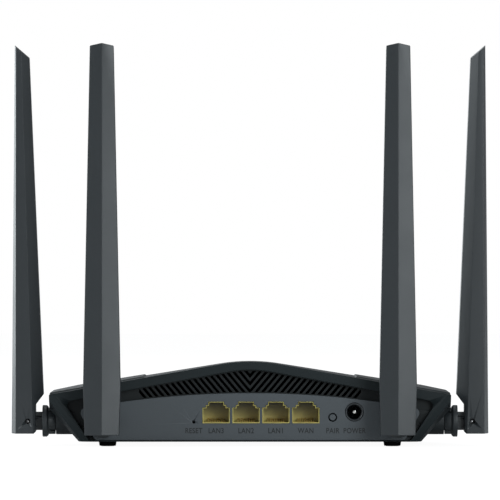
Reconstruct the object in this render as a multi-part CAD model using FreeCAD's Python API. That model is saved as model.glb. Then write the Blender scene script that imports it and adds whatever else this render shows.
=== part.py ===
import FreeCAD, Part
import math
import os

from FreeCAD import Placement, Rotation, Vector

os.makedirs("parts", exist_ok=True)

# Wireless router with four folding antennas, in millimetres.
# The ports face -Y, +X is to the right when looking at the ports, +Z is up and the feet stand on z = 0.
# While it is drawn, y = 0 is the rear face of the frame round the ports; SHIFT_Y centres the finished model.

# ---------------------------------------------------------------- driving dimensions
# Body envelope
BODY_WIDTH = 183.0  # over the upright side walls
BODY_DEPTH = 120.0  # rear frame to front edge
EDGE_HEIGHT = 23.67  # roof line at the side walls
ROOF_ANGLE = 10.0  # degrees, each side of the ridge
RIDGE_RADIUS = 78.0
FOOT_HEIGHT = 2.2
PARTING_Z = 17.0  # where the cover meets the case, and the foot of the upright side walls
SIDE_LEAN = 13.5  # how far each side leans in below the parting line
BOTTOM_EDGE_RADIUS = 1.0
WALL = 2.0
SHOULDER_SETBACK = 54.0  # the plan starts to narrow this far behind the front edge
SHOULDER_RADIUS = 14.0
NOSE_INSET = 21.5  # the front corners stand this far in from the side walls
NOSE_SETBACK = 8.0  # and this far behind the point where the two front edges would meet
NOSE_CORNER_RADIUS = 9.0
NOSE_RADIUS = 60.0
FRONT_HEIGHT = 21.0
CHIN_HEIGHT = 9.0
CHIN_RAKE = 16.0
CHIN_RADIUS = 3.0
FACET_START_Y = 24.0  # the sloping front facet leaves the ridge here
WING_STEP = 0.7  # the two raised panels on the roof
WING_WIDTH = 43.5
WING_REAR_Y = 6.0
WING_FRONT_GAP = 3.0  # behind the front facet
WING_MARGIN = 0.25  # inside the cover's own edges
SEAM = 0.15  # visible gap between neighbouring mouldings
LIP_HEIGHT = 1.5
LIP_CLEARANCE = 0.1

# Rear frame, grille and port panel
FRAME_DEPTH = 3.0
FRAME_BAND = 4.1  # top of the frame, measured down from the roof line
FRAME_RAIL = 0.55
FRAME_BAR_TOP = 6.5  # from the body's full width to the top corner of the opening
FRAME_BAR_BOTTOM = 3.6
FRAME_BEVEL_WIDTH = 2.4
FRAME_BEVEL_DEPTH = 1.5
FRAME_LEAN = 15.5  # lean of the frame's outer sides
FRAME_CORNER_DROP = 1.67  # from the roof line's end to the top of the leaning sides
FRAME_CORNER_LENGTH = 10.0  # the corner facet runs out into the side wall here
STAKE_RADIUS = 0.6
STAKE_CLEARANCE = 0.05
STAKE_INSET = 3.3
STAKE_HEIGHTS = (9.0, 16.0)
OPENING_ANGLE = 10.3
OPENING_RADIUS = 50.0
OPENING_CORNER_RADIUS = 2.5
PANEL_SETBACK = 1.0
PANEL_THICK = 2.0
PANEL_CROWN = 24.3
PANEL_ARCH_DROP = 6.65  # fall of the arched top from its middle to just outside the rear hinges
PANEL_ARCH_REACH = 8.0  # how far outside the rear hinges that is
PANEL_END_GAP = 2.1  # between the panel's sloping end and the frame, at the bottom
PANEL_END_LEAN = 30.0  # degrees from upright
PANEL_CORNER_RADIUS = 2.5
PANEL_TAB_WIDTH = 6.0
PANEL_TAB_LENGTH = 8.0
PANEL_TAB_THICK = 1.8
PANEL_TAB_TO_HINGE = 14.0
GRILLE_THICK = 2.5
GRILLE_OVERLAP = 0.8
GRILLE_EDGE_GAP = 0.3
SLOT_PITCH = 2.95
SLOT_WIDTH = 1.2
SLOT_ANGLE = 50.0
SLOT_APEX_Z = 35.57  # the topmost pair of slots would meet here
SLOT_FIELD_INSET = 41.0  # from the side wall to the end of the slotted field
SLOT_MARGIN = 0.45

# Board
BOARD_TO_HINGE = 10.0  # from the board's edges to the axes of the rear hinges
BOARD_THICK = 1.6
BOARD_TOP_Z = 8.6
BOARD_REAR_Y = 4.2
BOARD_FRONT_SETBACK = 16.0
BOARD_CORNER_RADIUS = 2.0
POST_INSET = 6.0  # from the board's edges
POST_REAR_Y = 50.0
POST_FRONT_SETBACK = 24.0
POST_RADIUS = 2.75
BOARD_SCREW_RADIUS = 1.1
BOARD_SCREW_HEAD_RADIUS = 2.4
BOARD_SCREW_HEAD_HEIGHT = 1.5

# Ethernet sockets
PORT_COUNT = 4
PORT_DIVIDER = 1.9
PORT_END_WALL = 1.15
PORT_TO_PAIR = 6.35  # from the last socket's mouth to the pairing button
PORT_FLOOR_Z = 10.95
PORT_HALF_WIDTH = 5.85
PORT_HEIGHT = 6.45
PORT_STEP_HALF = 4.3
PORT_STEP_HEIGHT = 1.15
PORT_LATCH_HALF = 3.25
PORT_LATCH_HEIGHT = 1.5
PORT_DEPTH = 13.0
PORT_BACK_WALL = 3.0
PORT_ROOF = 1.4
PORT_RIM = 0.3
PORT_RIM_SETBACK = 0.3
PORT_CLEARANCE = 0.1
CONTACTS_PER_PORT = 8
CONTACT_PITCH = 1.02
CONTACT_WIDTH = 0.45
CONTACT_THICK = 0.35
CONTACT_REACH = 10.0
CONTACT_RISE = 1.5
CONTACT_GAP = 0.25  # from the socket's floor to the wires' low ends

# Power socket and buttons
POWER_TO_HINGE = 19.5
POWER_Z = 15.7
POWER_OUTER_RADIUS = 4.15
POWER_CLEARANCE = 0.15
POWER_BORE_RADIUS = 3.25
POWER_BORE_DEPTH = 9.5
POWER_PIN_RADIUS = 1.0
POWER_PIN_SETBACK = 1.6
POWER_PIN_ROOT = 2.0
POWER_BODY_HALF = 4.7
POWER_BODY_ABOVE = 4.25
POWER_BODY_DEPTH = 11.5
PAIR_TO_POWER = 9.9
PAIR_Z = 13.3
PAIR_RADIUS = 1.45
PAIR_PROUD = 0.1
PAIR_HOLE_RADIUS = 2.05
PAIR_FLANGE = 0.6
PAIR_FLANGE_THICK = 0.9
PAIR_EDGE_RADIUS = 0.3
PAIR_PLUNGER_RADIUS = 1.2
PAIR_TRAVEL = 0.3
PAIR_SWITCH_WIDTH = 6.0
PAIR_SWITCH_DEPTH = 3.6
PAIR_SWITCH_ABOVE = 2.6
RESET_TO_PORT = 4.35  # from the pinhole to the first socket's mouth
RESET_Z = 11.2
RESET_HOLE_RADIUS = 0.75
RESET_PLUNGER_RADIUS = 0.7
RESET_TRAVEL = 0.25
RESET_SWITCH_WIDTH = 4.2
RESET_SWITCH_DEPTH = 3.2
RESET_SWITCH_ABOVE = 2.0
SWITCH_REAR_Y = 5.2
PLUNGER_CLEARANCE = 0.07
PLUNGER_END_ROOM = 0.3

# Antenna hinge: u runs outwards along the barrel, from the pivot pin
PIVOT_Z = 11.3
SIDE_HINGE_Y = 17.0
REAR_HINGE_INSET = 24.5  # from the side walls
SOCKET_REACH = 12.8  # pivot to the mouth of the socket
SIDE_SOCKET_INSET = 2.9  # the mouth of a side socket stands this far inside the body's full width
SHAFT_RADIUS = 4.3
SOCKET_WALL = 1.85
SOCKET_LENGTH = 5.3
SOCKET_TAIL = 4.0
SWIVEL_CLEARANCE = 0.06
AXIAL_CLEARANCE = 0.3
BARB_STEP = 0.6
BARB_LENGTH = 1.6
NECK_SETBACK = 0.1  # the neck is this much thinner than the socket that it continues
POCKET_CLEARANCE = 0.65
COLLAR_STEP = 1.2
COLLAR_BEVEL = 0.8
COLLAR_INNER_U = -9.4
COLLAR_OUTER_U = -6.6
LEAD_BORE_RADIUS = 1.5
SPLIT_HALF = 0.5  # the shaft's end is split so that its barb can spring in
GRIP_SLIT_HALF = 0.4
GRIP_SLIT_DEPTH = 0.9
TONGUE_THICK = 5.0
TONGUE_HALF_HEIGHT = 4.15
TONGUE_GAP = 0.3
TONGUE_GROOVE = (1.9, 2.4)  # heights of the groove along each cheek of the tongue
TONGUE_GROOVE_DEPTH = 0.35
PIN_RADIUS = 1.25
PIN_CLEARANCE = 0.05
PIN_HALF_LENGTH = 6.3

# Antenna blade: heights are measured from the pivot
BLADE_BOTTOM = -5.7
BLADE_WAIST = 16.0
BLADE_TOP = 171.8
BLADE_HALF_WIDTH = {"bottom": 7.8, "waist": 8.5, "top": 5.4}
RIDGE_U = {"bottom": 7.6, "top": 6.2}
EDGE_U = 5.45
FOLD_U = {"bottom": -2.4, "top": 3.1}
BACK_U = {"bottom": -7.85, "top": -0.35}
BACK_SHARE = 0.6  # width of the flat back, as a share of the full width
HEEL_U = -3.5
HEEL_BEVEL = 0.8
HEEL_CHAMFER_LOW = 7.5
HEEL_SLOPE = 4.0 / 3.0
TIP_BACK_DROP = 5.6
TIP_SIDE_DROP = 1.2
FOOT_CORNER = 1.5
BLADE_WALL = 1.4
CAVITY_BOTTOM = 14.0
CAVITY_TIP_GAP = 11.6
ELEMENT_U = 1.2
ELEMENT_THICK = 0.8
ELEMENT_HALF_WIDTH = 3.6
ELEMENT_BOTTOM = 14.8
ELEMENT_TIP_GAP = 39.8

# Feet, fixings, label and leads: places are set in from a side wall and from the rear or front edge
FOOT_RADIUS_TOP = 4.2
FOOT_RADIUS_BOTTOM = 3.75
FOOT_RECESS = 0.6
REAR_FOOT_INSET = 26.6
REAR_FOOT_Y = 10.0
FRONT_FOOT_INSET = 37.5
FRONT_FOOT_SETBACK = 26.0
REAR_SCREW_INSET = 17.5
REAR_SCREW_Y = 46.0
FRONT_SCREW_INSET = 27.5
FRONT_SCREW_SETBACK = 22.0
CASE_SCREW_RADIUS = 1.4
CASE_SCREW_HEAD_RADIUS = 2.9
CASE_SCREW_HEAD_HEIGHT = 1.8
CASE_SCREW_LENGTH = 15.0
CASE_SCREW_SEAT = 1.0  # above the floor
CASE_BOSS_RADIUS = 3.4
CASE_BOSS_TOP = 12.0
SCREW_CLEARANCE = 0.2
CROSS_HALF_WIDTH = 0.35
CROSS_REACH = 1.6
CROSS_DEPTH = 0.6
KEYHOLE_INSET = 23.5
KEYHOLE_ENTRY_RADIUS = 4.0
KEYHOLE_SLOT_RADIUS = 2.1
KEYHOLE_LENGTH = 8.0
FLOOR_SLOT_LENGTH = 15.5
FLOOR_SLOT_WIDTH = 1.8
FLOOR_SLOT_PITCH = 4.2
FLOOR_SLOT_REAR_Y = 36.0
FLOOR_SLOT_FRONT_SETBACK = 30.0
LABEL_TO_POST = 24.0  # from the board posts to the label's side edges
LABEL_TO_SLOTS = 4.5
LABEL_REAR_Y = 42.0
LABEL_FRONT_SETBACK = 36.0
LABEL_CORNER_RADIUS = 2.0
LABEL_THICK = 0.15
LABEL_RECESS = 0.2
LEAD_RADIUS = 0.65
LEAD_GAP = 0.12
LEAD_LIFT = 1.0
REAR_LEAD_BEND = 6.0
SIDE_LEAD_BEND = 4.5
SIDE_LEAD_OFFSET = 3.0
CONNECTOR_INSET = 5.0  # from the board's edges
CONNECTOR_RADIUS = 1.5
CONNECTOR_HEIGHT = 1.8
REAR_CONNECTOR_Y = 22.0
SIDE_CONNECTOR_Y = 33.0

# Lamps and circuits
LED_COUNT = 6
LED_PITCH = 9.0
LED_SETBACK = 20.0
LED_WIDTH = 1.6
LED_DEPTH = 0.8
LED_HEIGHT = 0.6
PIPE_RADIUS = 1.1
PIPE_CLEARANCE = 0.1
PIPE_BAR_WIDTH = 4.0
PIPE_BAR_THICK = 1.8
PIPE_BAR_LIFT = 1.2
PIPE_BAR_END = 3.0
CHIP_SIDE = 15.0
CHIP_HEIGHT = 1.4
PAD_HEIGHT = 0.8
SINK_SIDE = 34.0
SINK_BASE = 2.0
FIN_COUNT = 9
FIN_PITCH = 4.1
FIN_THICK = 1.2
FIN_HEIGHT = 8.0
MEMORY_SIZES = ((-8.0, 11.0), (12.0, 8.0))  # place and width of each memory chip
MEMORY_DEPTH = 7.0
MEMORY_HEIGHT = 1.0
SHIELD_TO_SINK = 4.0
SHIELD_TO_POST = 4.0
SHIELD_HEIGHT = 3.2
SHIELD_WALL = 0.3
LEFT_SHIELD_REAR_Y = 43.0
RIGHT_SHIELD_REAR_Y = 49.0
LEFT_SHIELD_SETBACK = 43.0
RIGHT_SHIELD_SETBACK = 37.0
TRANSFORMER_Y = 27.0
TRANSFORMER_GAP = 1.6
TRANSFORMER_DEPTH = 11.0
TRANSFORMER_HEIGHT = 5.6
CAN_RADIUS = 3.15
CAN_HEIGHT = 10.5
COIL_SIDE = 6.0
COIL_HEIGHT = 3.0
FAR = 400.0  # longer than the whole object, for cutting tools
ROOT = 0.5  # how far a boss or pin is sunk into the wall that it grows from

# ---------------------------------------------------------------- worked-out sizes
HALF_WIDTH = BODY_WIDTH / 2
ROOF_SLOPE = math.tan(math.radians(ROOF_ANGLE))
RIDGE_HEIGHT = EDGE_HEIGHT + ROOF_SLOPE * HALF_WIDTH  # where the two roof slopes would meet
RIDGE_TOP = RIDGE_HEIGHT - RIDGE_RADIUS * (1 / math.cos(math.radians(ROOF_ANGLE)) - 1)
FACET_SLOPE = (RIDGE_TOP - FRONT_HEIGHT) / (BODY_DEPTH - FACET_START_Y)
FLOOR_TOP_Z = FOOT_HEIGHT + WALL
FRAME_CORNER_Z = EDGE_HEIGHT - FRAME_CORNER_DROP
PANEL_FRONT_Y = PANEL_SETBACK + PANEL_THICK
SHELL_REAR_Y = FRAME_DEPTH + SEAM
GRILLE_FRONT_Y = SHELL_REAR_Y + GRILLE_THICK
BLOCK_REAR_Y = PANEL_FRONT_Y + SEAM
SOCKET_MOUTH_Y = PANEL_SETBACK + PORT_RIM_SETBACK
POWER_MOUTH_Y = PANEL_SETBACK + POWER_CLEARANCE
REAR_HINGE_X = HALF_WIDTH - REAR_HINGE_INSET
POWER_X = REAR_HINGE_X - POWER_TO_HINGE
PAIR_X = POWER_X - PAIR_TO_POWER
PORT_PITCH = 2 * PORT_HALF_WIDTH + PORT_DIVIDER
LAST_PORT_X = PAIR_X - PORT_TO_PAIR - PORT_HALF_WIDTH
PORT_XS = [LAST_PORT_X - (PORT_COUNT - 1 - i) * PORT_PITCH for i in range(PORT_COUNT)]
RESET_X = PORT_XS[0] - PORT_HALF_WIDTH - RESET_TO_PORT
PORT_STEP_Z = PORT_FLOOR_Z + PORT_HEIGHT
PORT_LATCH_Z = PORT_STEP_Z + PORT_STEP_HEIGHT
PORT_TOP_Z = PORT_LATCH_Z + PORT_LATCH_HEIGHT
PANEL_ARCH_HALF = REAR_HINGE_X + PANEL_ARCH_REACH
PANEL_ARC_RADIUS = (PANEL_ARCH_HALF**2 + PANEL_ARCH_DROP**2) / (2 * PANEL_ARCH_DROP)
SLOT_FIELD_HALF = HALF_WIDTH - SLOT_FIELD_INSET
SOCKET_RADIUS = SHAFT_RADIUS + SOCKET_WALL
BARB_RADIUS = SHAFT_RADIUS + BARB_STEP
NECK_RADIUS = SOCKET_RADIUS - NECK_SETBACK
COLLAR_RADIUS = NECK_RADIUS + COLLAR_STEP
SIDE_PIVOT_X = HALF_WIDTH - SIDE_SOCKET_INSET + SOCKET_REACH
REACH_BEHIND = SOCKET_REACH + RIDGE_U["bottom"]
SHIFT_Y = -(BODY_DEPTH - REACH_BEHIND) / 2
BOARD_HALF_WIDTH = REAR_HINGE_X - BOARD_TO_HINGE
BOARD_FRONT_Y = BODY_DEPTH - BOARD_FRONT_SETBACK
POST_X = BOARD_HALF_WIDTH - POST_INSET
POST_YS = (POST_REAR_Y, BODY_DEPTH - POST_FRONT_SETBACK)
FOOT_PLACES = (
    (HALF_WIDTH - REAR_FOOT_INSET, REAR_FOOT_Y),
    (HALF_WIDTH - FRONT_FOOT_INSET, BODY_DEPTH - FRONT_FOOT_SETBACK),
)
CASE_SCREW_PLACES = (
    (HALF_WIDTH - REAR_SCREW_INSET, REAR_SCREW_Y),
    (HALF_WIDTH - FRONT_SCREW_INSET, BODY_DEPTH - FRONT_SCREW_SETBACK),
)
LED_Y = BODY_DEPTH - LED_SETBACK
CHIP_Y = BODY_DEPTH / 2 + 2
CONNECTOR_X = BOARD_HALF_WIDTH - CONNECTOR_INSET
LABEL_HALF_WIDTH = POST_X - LABEL_TO_POST

# name: pivot x, pivot y, turn about Z that points the barrel away from the body
ANTENNAS = {
    "left_rear": (-REAR_HINGE_X, -SOCKET_REACH, -90),
    "right_rear": (REAR_HINGE_X, -SOCKET_REACH, -90),
    "left_side": (-SIDE_PIVOT_X, SIDE_HINGE_Y, 180),
    "right_side": (SIDE_PIVOT_X, SIDE_HINGE_Y, 0),
}

X, Y, Z = Vector(1, 0, 0), Vector(0, 1, 0), Vector(0, 0, 1)


# ---------------------------------------------------------------- drawing helpers
def box(x0, x1, y0, y1, z0, z1):
    return Part.makeBox(x1 - x0, y1 - y0, z1 - z0, Vector(x0, y0, z0))


def rod(radius, start, end):
    """Cylinder between two points."""
    return Part.makeCylinder(radius, start.distanceToPoint(end), start, end - start)


def cone(radius_start, radius_end, start, end):
    return Part.makeCone(radius_start, radius_end, start.distanceToPoint(end), start, end - start)


def join(*solids):
    return solids[0].multiFuse(list(solids[1:])).removeSplitter()


def mirrored(solid):
    return solid.mirror(Vector(), X)


def both_sides(solid):
    return [solid, mirrored(solid)]


def wire(corners):
    """Closed outline through (point, radius) corners, each rounded by an arc of its radius."""
    stops = []
    for i, (here, radius) in enumerate(corners):
        back = (corners[i - 1][0] - here).normalize()
        ahead = (corners[(i + 1) % len(corners)][0] - here).normalize()
        half = back.getAngle(ahead) / 2
        reach = radius / math.tan(half)
        middle = here + (back + ahead).normalize() * (radius / math.sin(half) - radius)
        stops.append((here + back * reach, middle, here + ahead * reach, radius))
    edges = []
    for i, (start, middle, end, radius) in enumerate(stops):
        if radius > 0:
            edges.append(Part.Arc(start, middle, end).toShape())
        following = stops[(i + 1) % len(stops)][0]
        if end.distanceToPoint(following) > 1e-6:
            edges.append(Part.makeLine(end, following))
    return Part.Wire(edges)


def inset(outline, distance):
    """The same outline drawn in by a distance, or out if it is negative."""
    return outline.makeOffset2D(-distance, join=2) if distance else outline


def prism(outline, length):
    """Solid swept straight from a closed outline."""
    return Part.Face(outline).extrude(length)


def beyond(point, normal):
    """A very large block whose near face passes through a point, square to a normal."""
    block = Part.makeBox(2 * FAR, 2 * FAR, FAR, Vector(-FAR, -FAR, 0))
    block.Placement = Placement(point, Rotation(Z, normal))
    return block


def outline_xz(corners, y=0.0):
    """Outline symmetric about x = 0, from its right half given bottom to top as (x, z, radius)."""
    right = [(Vector(x, y, z), r) for x, z, r in corners]
    left = [(Vector(-p.x, y, p.z), r) for p, r in reversed(right) if p.x > 0]
    return wire(right + left)


def save(name, solids):
    """Write one named piece, moved to the finished model's place; a list of solids becomes one group."""
    shape = Part.makeCompound(solids) if isinstance(solids, list) else solids.copy()
    shape.translate(Y * SHIFT_Y)
    if not shape.isValid():
        raise ValueError("not a valid solid: " + name)
    shape.exportStep("parts/" + name + ".step")
    print(f"{name:28s} solids {len(shape.Solids):3d}  volume {shape.Volume:10.1f}")


# ---------------------------------------------------------------- body envelope
def roof_z(x):
    return RIDGE_HEIGHT - ROOF_SLOPE * abs(x)


def envelope(drawn_in, lift=0.0):
    """Outer form of the body, with every face drawn in by the same amount and the roof lifted."""
    section = outline_xz(
        [
            (HALF_WIDTH - SIDE_LEAN, FOOT_HEIGHT, BOTTOM_EDGE_RADIUS),
            (HALF_WIDTH, PARTING_Z, 0.5),
            (HALF_WIDTH, EDGE_HEIGHT + lift, 0.6),
            (0, RIDGE_HEIGHT + lift, RIDGE_RADIUS),
        ]
    )
    nose_x = HALF_WIDTH - NOSE_INSET
    apex_y = BODY_DEPTH + NOSE_RADIUS * (math.hypot(nose_x, NOSE_SETBACK) / nose_x - 1)
    right = [
        (Vector(HALF_WIDTH, 0, 0), 0),
        (Vector(HALF_WIDTH, BODY_DEPTH - SHOULDER_SETBACK, 0), SHOULDER_RADIUS),
        (Vector(nose_x, apex_y - NOSE_SETBACK, 0), NOSE_CORNER_RADIUS),
    ]
    left = [(Vector(-p.x, p.y, 0), radius) for p, radius in reversed(right)]
    plan = wire(right + [(Vector(0, apex_y, 0), NOSE_RADIUS)] + left)
    over = RIDGE_TOP + 10.0
    profile = wire(
        [
            (Vector(0, BODY_DEPTH - CHIN_RAKE, FOOT_HEIGHT), CHIN_RADIUS),
            (Vector(0, BODY_DEPTH, CHIN_HEIGHT), 1.0),
            (Vector(0, BODY_DEPTH, FRONT_HEIGHT), 1.2),
            (Vector(0, BODY_DEPTH - (over - FRONT_HEIGHT) / FACET_SLOPE, over), 0),
            (Vector(0, -FAR, over), 0),
            (Vector(0, -FAR, FOOT_HEIGHT), 0),
        ]
    )
    solid = prism(inset(section, drawn_in), Y * FAR)
    tall = prism(inset(plan, drawn_in), Z * FAR)
    wide = prism(inset(profile, drawn_in), X * FAR)
    wide.translate(X * (-FAR / 2))
    solid = solid.common(tall).common(wide)
    for side in (1, -1):
        low = Vector(side * (HALF_WIDTH - FRAME_LEAN), 0, FOOT_HEIGHT)
        high = Vector(side * HALF_WIDTH, 0, FRAME_CORNER_Z)
        ahead = Vector(side * HALF_WIDTH, FRAME_CORNER_LENGTH, PARTING_Z)
        outward = (ahead - low).cross(high - low) * side
        outward.normalize()
        solid = solid.cut(beyond(low - outward * drawn_in, outward))
    return solid


OUTER = envelope(0)
INNER = envelope(WALL)


def slab_y(y0, y1):
    return box(-FAR, FAR, y0, y1, -FAR, FAR)


def slab_z(z0, z1):
    return box(-FAR, FAR, -FAR, FAR, z0, z1)


def side_axis(side, u):
    """Point on a side barrel's axis, u outwards from its pivot."""
    return Vector(side * (SIDE_PIVOT_X + u), SIDE_HINGE_Y, PIVOT_Z)


def hinge_pockets():
    """Room round each side barrel's neck, where it passes under the side wall."""
    reach = NECK_RADIUS + POCKET_CLEARANCE
    return [rod(reach, side_axis(s, -SOCKET_REACH), side_axis(s, 0)) for s in (1, -1)]


# ---------------------------------------------------------------- top cover
def wing():
    """Raised panel on the right-hand roof slope, with 45 degree borders on its three inner edges."""
    raised = envelope(WING_MARGIN, WING_STEP + WING_MARGIN / math.cos(math.radians(ROOF_ANGLE)))
    raised = raised.common(box(0, FAR, 0, FAR, PARTING_Z + LIP_HEIGHT, FAR))
    roof_up = Vector(ROOF_SLOPE, 0, 1).normalize()

    def on_roof(x, y):
        return Vector(x, y, roof_z(x))

    def facet_y(x):
        return FACET_START_Y + (RIDGE_TOP - roof_z(x)) / FACET_SLOPE - WING_FRONT_GAP

    outer = HALF_WIDTH
    inner = outer - WING_WIDTH
    borders = [
        (on_roof(inner, facet_y(inner)), on_roof(inner, WING_REAR_Y)),
        (on_roof(inner, WING_REAR_Y), on_roof(outer, WING_REAR_Y)),
        (on_roof(outer, facet_y(outer)), on_roof(inner, facet_y(inner))),
    ]
    for start, end in borders:
        outward = (end - start).cross(roof_up).normalize()
        raised = raised.cut(beyond(start, outward + roof_up))
    root = on_roof(inner, WING_REAR_Y) - roof_up * (WALL / 4)
    return raised.common(beyond(root, roof_up))


def top_cover():
    shell = OUTER.common(slab_y(SHELL_REAR_Y, FAR)).common(slab_z(PARTING_Z + SEAM, FAR))
    pad = wing()
    shell = join(shell, pad, mirrored(pad))
    shell = shell.cut(INNER)
    rebate = envelope(WALL / 2).common(slab_z(0, PARTING_Z + LIP_HEIGHT + SEAM))
    shell = shell.cut(rebate)
    bosses = []
    for x, y in CASE_SCREW_PLACES:
        boss = rod(CASE_BOSS_RADIUS, Vector(x, y, CASE_BOSS_TOP + SEAM), Vector(x, y, RIDGE_HEIGHT))
        bosses += both_sides(boss.common(envelope(WALL / 2)))
    shell = join(shell, *bosses)
    for x, y in CASE_SCREW_PLACES:
        tip = FLOOR_TOP_Z + CASE_SCREW_SEAT + CASE_SCREW_LENGTH
        pilot = rod(CASE_SCREW_RADIUS, Vector(x, y, 0), Vector(x, y, tip + SEAM))
        for hole in both_sides(pilot):
            shell = shell.cut(hole)
    for pocket in hinge_pockets():
        shell = shell.cut(pocket)
    for x in led_xs():
        shell = shell.cut(rod(PIPE_RADIUS + PIPE_CLEARANCE, Vector(x, LED_Y, 0), Vector(x, LED_Y, FAR)))
    return shell


def led_xs():
    return [(i - (LED_COUNT - 1) / 2) * LED_PITCH for i in range(LED_COUNT)]


# ---------------------------------------------------------------- bottom case
def bottom_case():
    shell = OUTER.common(slab_y(SHELL_REAR_Y, FAR)).common(slab_z(0, PARTING_Z))
    lip = envelope(WALL / 2 + LIP_CLEARANCE).common(slab_y(SHELL_REAR_Y, FAR))
    lip = lip.common(slab_z(PARTING_Z - 1, PARTING_Z + LIP_HEIGHT))
    shell = join(shell, lip).cut(INNER)
    shell = join(shell, *side_sockets(), *floor_posts())
    holes = hinge_pockets() + screw_holes() + floor_slots() + keyholes()
    for side in (1, -1):
        step = side_axis(side, -SOCKET_REACH - SOCKET_LENGTH)
        tail = side_axis(side, -SOCKET_REACH - SOCKET_LENGTH - SOCKET_TAIL - 1)
        holes.append(rod(SHAFT_RADIUS + SWIVEL_CLEARANCE, step, side_axis(side, 0)))
        holes.append(rod(BARB_RADIUS + AXIAL_CLEARANCE, tail, step))
    for x, y in FOOT_PLACES:
        recess = rod(FOOT_RADIUS_TOP, Vector(x, y, 0), Vector(x, y, FOOT_HEIGHT + FOOT_RECESS))
        holes += both_sides(recess)
    holes.append(label_plate(LABEL_RECESS, LABEL_RECESS))
    return shell.cut(Part.makeCompound(holes))


def side_sockets():
    """Tubes inside the side walls that the side antennas' shafts snap into."""
    inner = -SOCKET_REACH - SOCKET_LENGTH - SOCKET_TAIL
    return [rod(SOCKET_RADIUS, side_axis(s, inner), side_axis(s, -SOCKET_REACH)) for s in (1, -1)]


def floor_posts():
    """Posts under the board, and bosses for the screws that hold the cover down."""
    low = FLOOR_TOP_Z - ROOT
    posts = []
    for y in POST_YS:
        top = BOARD_TOP_Z - BOARD_THICK
        posts += both_sides(rod(POST_RADIUS, Vector(POST_X, y, low), Vector(POST_X, y, top)))
    for x, y in CASE_SCREW_PLACES:
        posts += both_sides(rod(CASE_BOSS_RADIUS, Vector(x, y, low), Vector(x, y, CASE_BOSS_TOP)))
    return posts


def screw_holes():
    """Blind holes in the board posts; stepped through holes in the cover's bosses."""
    holes = []
    for y in POST_YS:
        tip = Vector(POST_X, y, FOOT_HEIGHT + WALL / 2)
        holes += both_sides(rod(BOARD_SCREW_RADIUS, tip, Vector(POST_X, y, BOARD_TOP_Z)))
    for x, y in CASE_SCREW_PLACES:
        low = Vector(x, y, 0)
        through = rod(CASE_SCREW_RADIUS + SCREW_CLEARANCE, low, Vector(x, y, CASE_BOSS_TOP + 1))
        seat = Vector(x, y, FLOOR_TOP_Z + CASE_SCREW_SEAT)
        holes += both_sides(through) + both_sides(rod(CASE_SCREW_HEAD_RADIUS + SCREW_CLEARANCE, low, seat))
    return holes


def floor_slots():
    """Cooling slots through the floor, in two fields either side of the label."""
    inner = LABEL_HALF_WIDTH + LABEL_TO_SLOTS
    field = BODY_DEPTH - FLOOR_SLOT_FRONT_SETBACK - FLOOR_SLOT_REAR_Y
    slots = []
    for row in range(math.ceil(field / FLOOR_SLOT_PITCH)):
        y = FLOOR_SLOT_REAR_Y + FLOOR_SLOT_PITCH * row
        slot = box(inner, inner + FLOOR_SLOT_LENGTH, y, y + FLOOR_SLOT_WIDTH, 0, FLOOR_TOP_Z + 1)
        slots += both_sides(slot)
    return slots


def keyholes():
    """Two hanging holes: a round entry for the screw head, then a narrow slot towards the front."""
    x = HALF_WIDTH - KEYHOLE_INSET
    y = (REAR_SCREW_Y + BODY_DEPTH - FRONT_SCREW_SETBACK) / 2
    top = FLOOR_TOP_Z + 1
    narrow = KEYHOLE_SLOT_RADIUS
    end_y = y + KEYHOLE_LENGTH
    entry = rod(KEYHOLE_ENTRY_RADIUS, Vector(x, y, 0), Vector(x, y, top))
    slot = box(x - narrow, x + narrow, y, end_y, 0, top)
    end = rod(narrow, Vector(x, end_y, 0), Vector(x, end_y, top))
    return both_sides(join(entry, slot, end))


def label_plate(thick, growth=0.0):
    """Blank rating label, or with growth the shallow recess that it sits in."""
    front = BODY_DEPTH - LABEL_FRONT_SETBACK
    corners = [(-1, LABEL_REAR_Y), (1, LABEL_REAR_Y), (1, front), (-1, front)]
    places = [Vector(side * LABEL_HALF_WIDTH, y, FOOT_HEIGHT) for side, y in corners]
    return prism(inset(wire([(place, LABEL_CORNER_RADIUS) for place in places]), -growth), Z * thick)


# ---------------------------------------------------------------- rear frame, grille and panel
def opening_outline(drawn_in, y):
    """Inner edge of the rear frame."""
    lean = FRAME_LEAN / (FRAME_CORNER_Z - FOOT_HEIGHT)
    base_z = FOOT_HEIGHT + FRAME_RAIL
    base_x = HALF_WIDTH - FRAME_LEAN + lean * FRAME_RAIL - FRAME_BAR_BOTTOM
    top_slope = math.tan(math.radians(OPENING_ANGLE))
    apex = RIDGE_HEIGHT - FRAME_BAND
    corner_x = HALF_WIDTH - FRAME_BAR_TOP
    corner_z = apex - top_slope * corner_x
    corners = [(base_x, base_z, OPENING_CORNER_RADIUS), (corner_x, corner_z, OPENING_CORNER_RADIUS)]
    return inset(outline_xz(corners + [(0, apex, OPENING_RADIUS)], y), drawn_in)


def rear_frame():
    frame = OUTER.common(slab_y(0, FRAME_DEPTH))
    frame = frame.cut(prism(opening_outline(0, -1), Y * FAR))
    for side in (1, -1):
        low = Vector(side * (HALF_WIDTH - FRAME_LEAN), 0, FOOT_HEIGHT)
        high = Vector(side * HALF_WIDTH, 0, FRAME_CORNER_Z)
        outward = (high - low).cross(Y).normalize() * -side
        bevel = outward * FRAME_BEVEL_DEPTH - Y * FRAME_BEVEL_WIDTH
        frame = frame.cut(beyond(low - outward * FRAME_BEVEL_WIDTH, bevel))
    stakes = []
    for x, z in stake_places():
        stakes.append(rod(STAKE_RADIUS, Vector(x, FRAME_DEPTH - ROOT, z), Vector(x, GRILLE_FRONT_Y, z)))
    return join(frame, *stakes)


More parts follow.
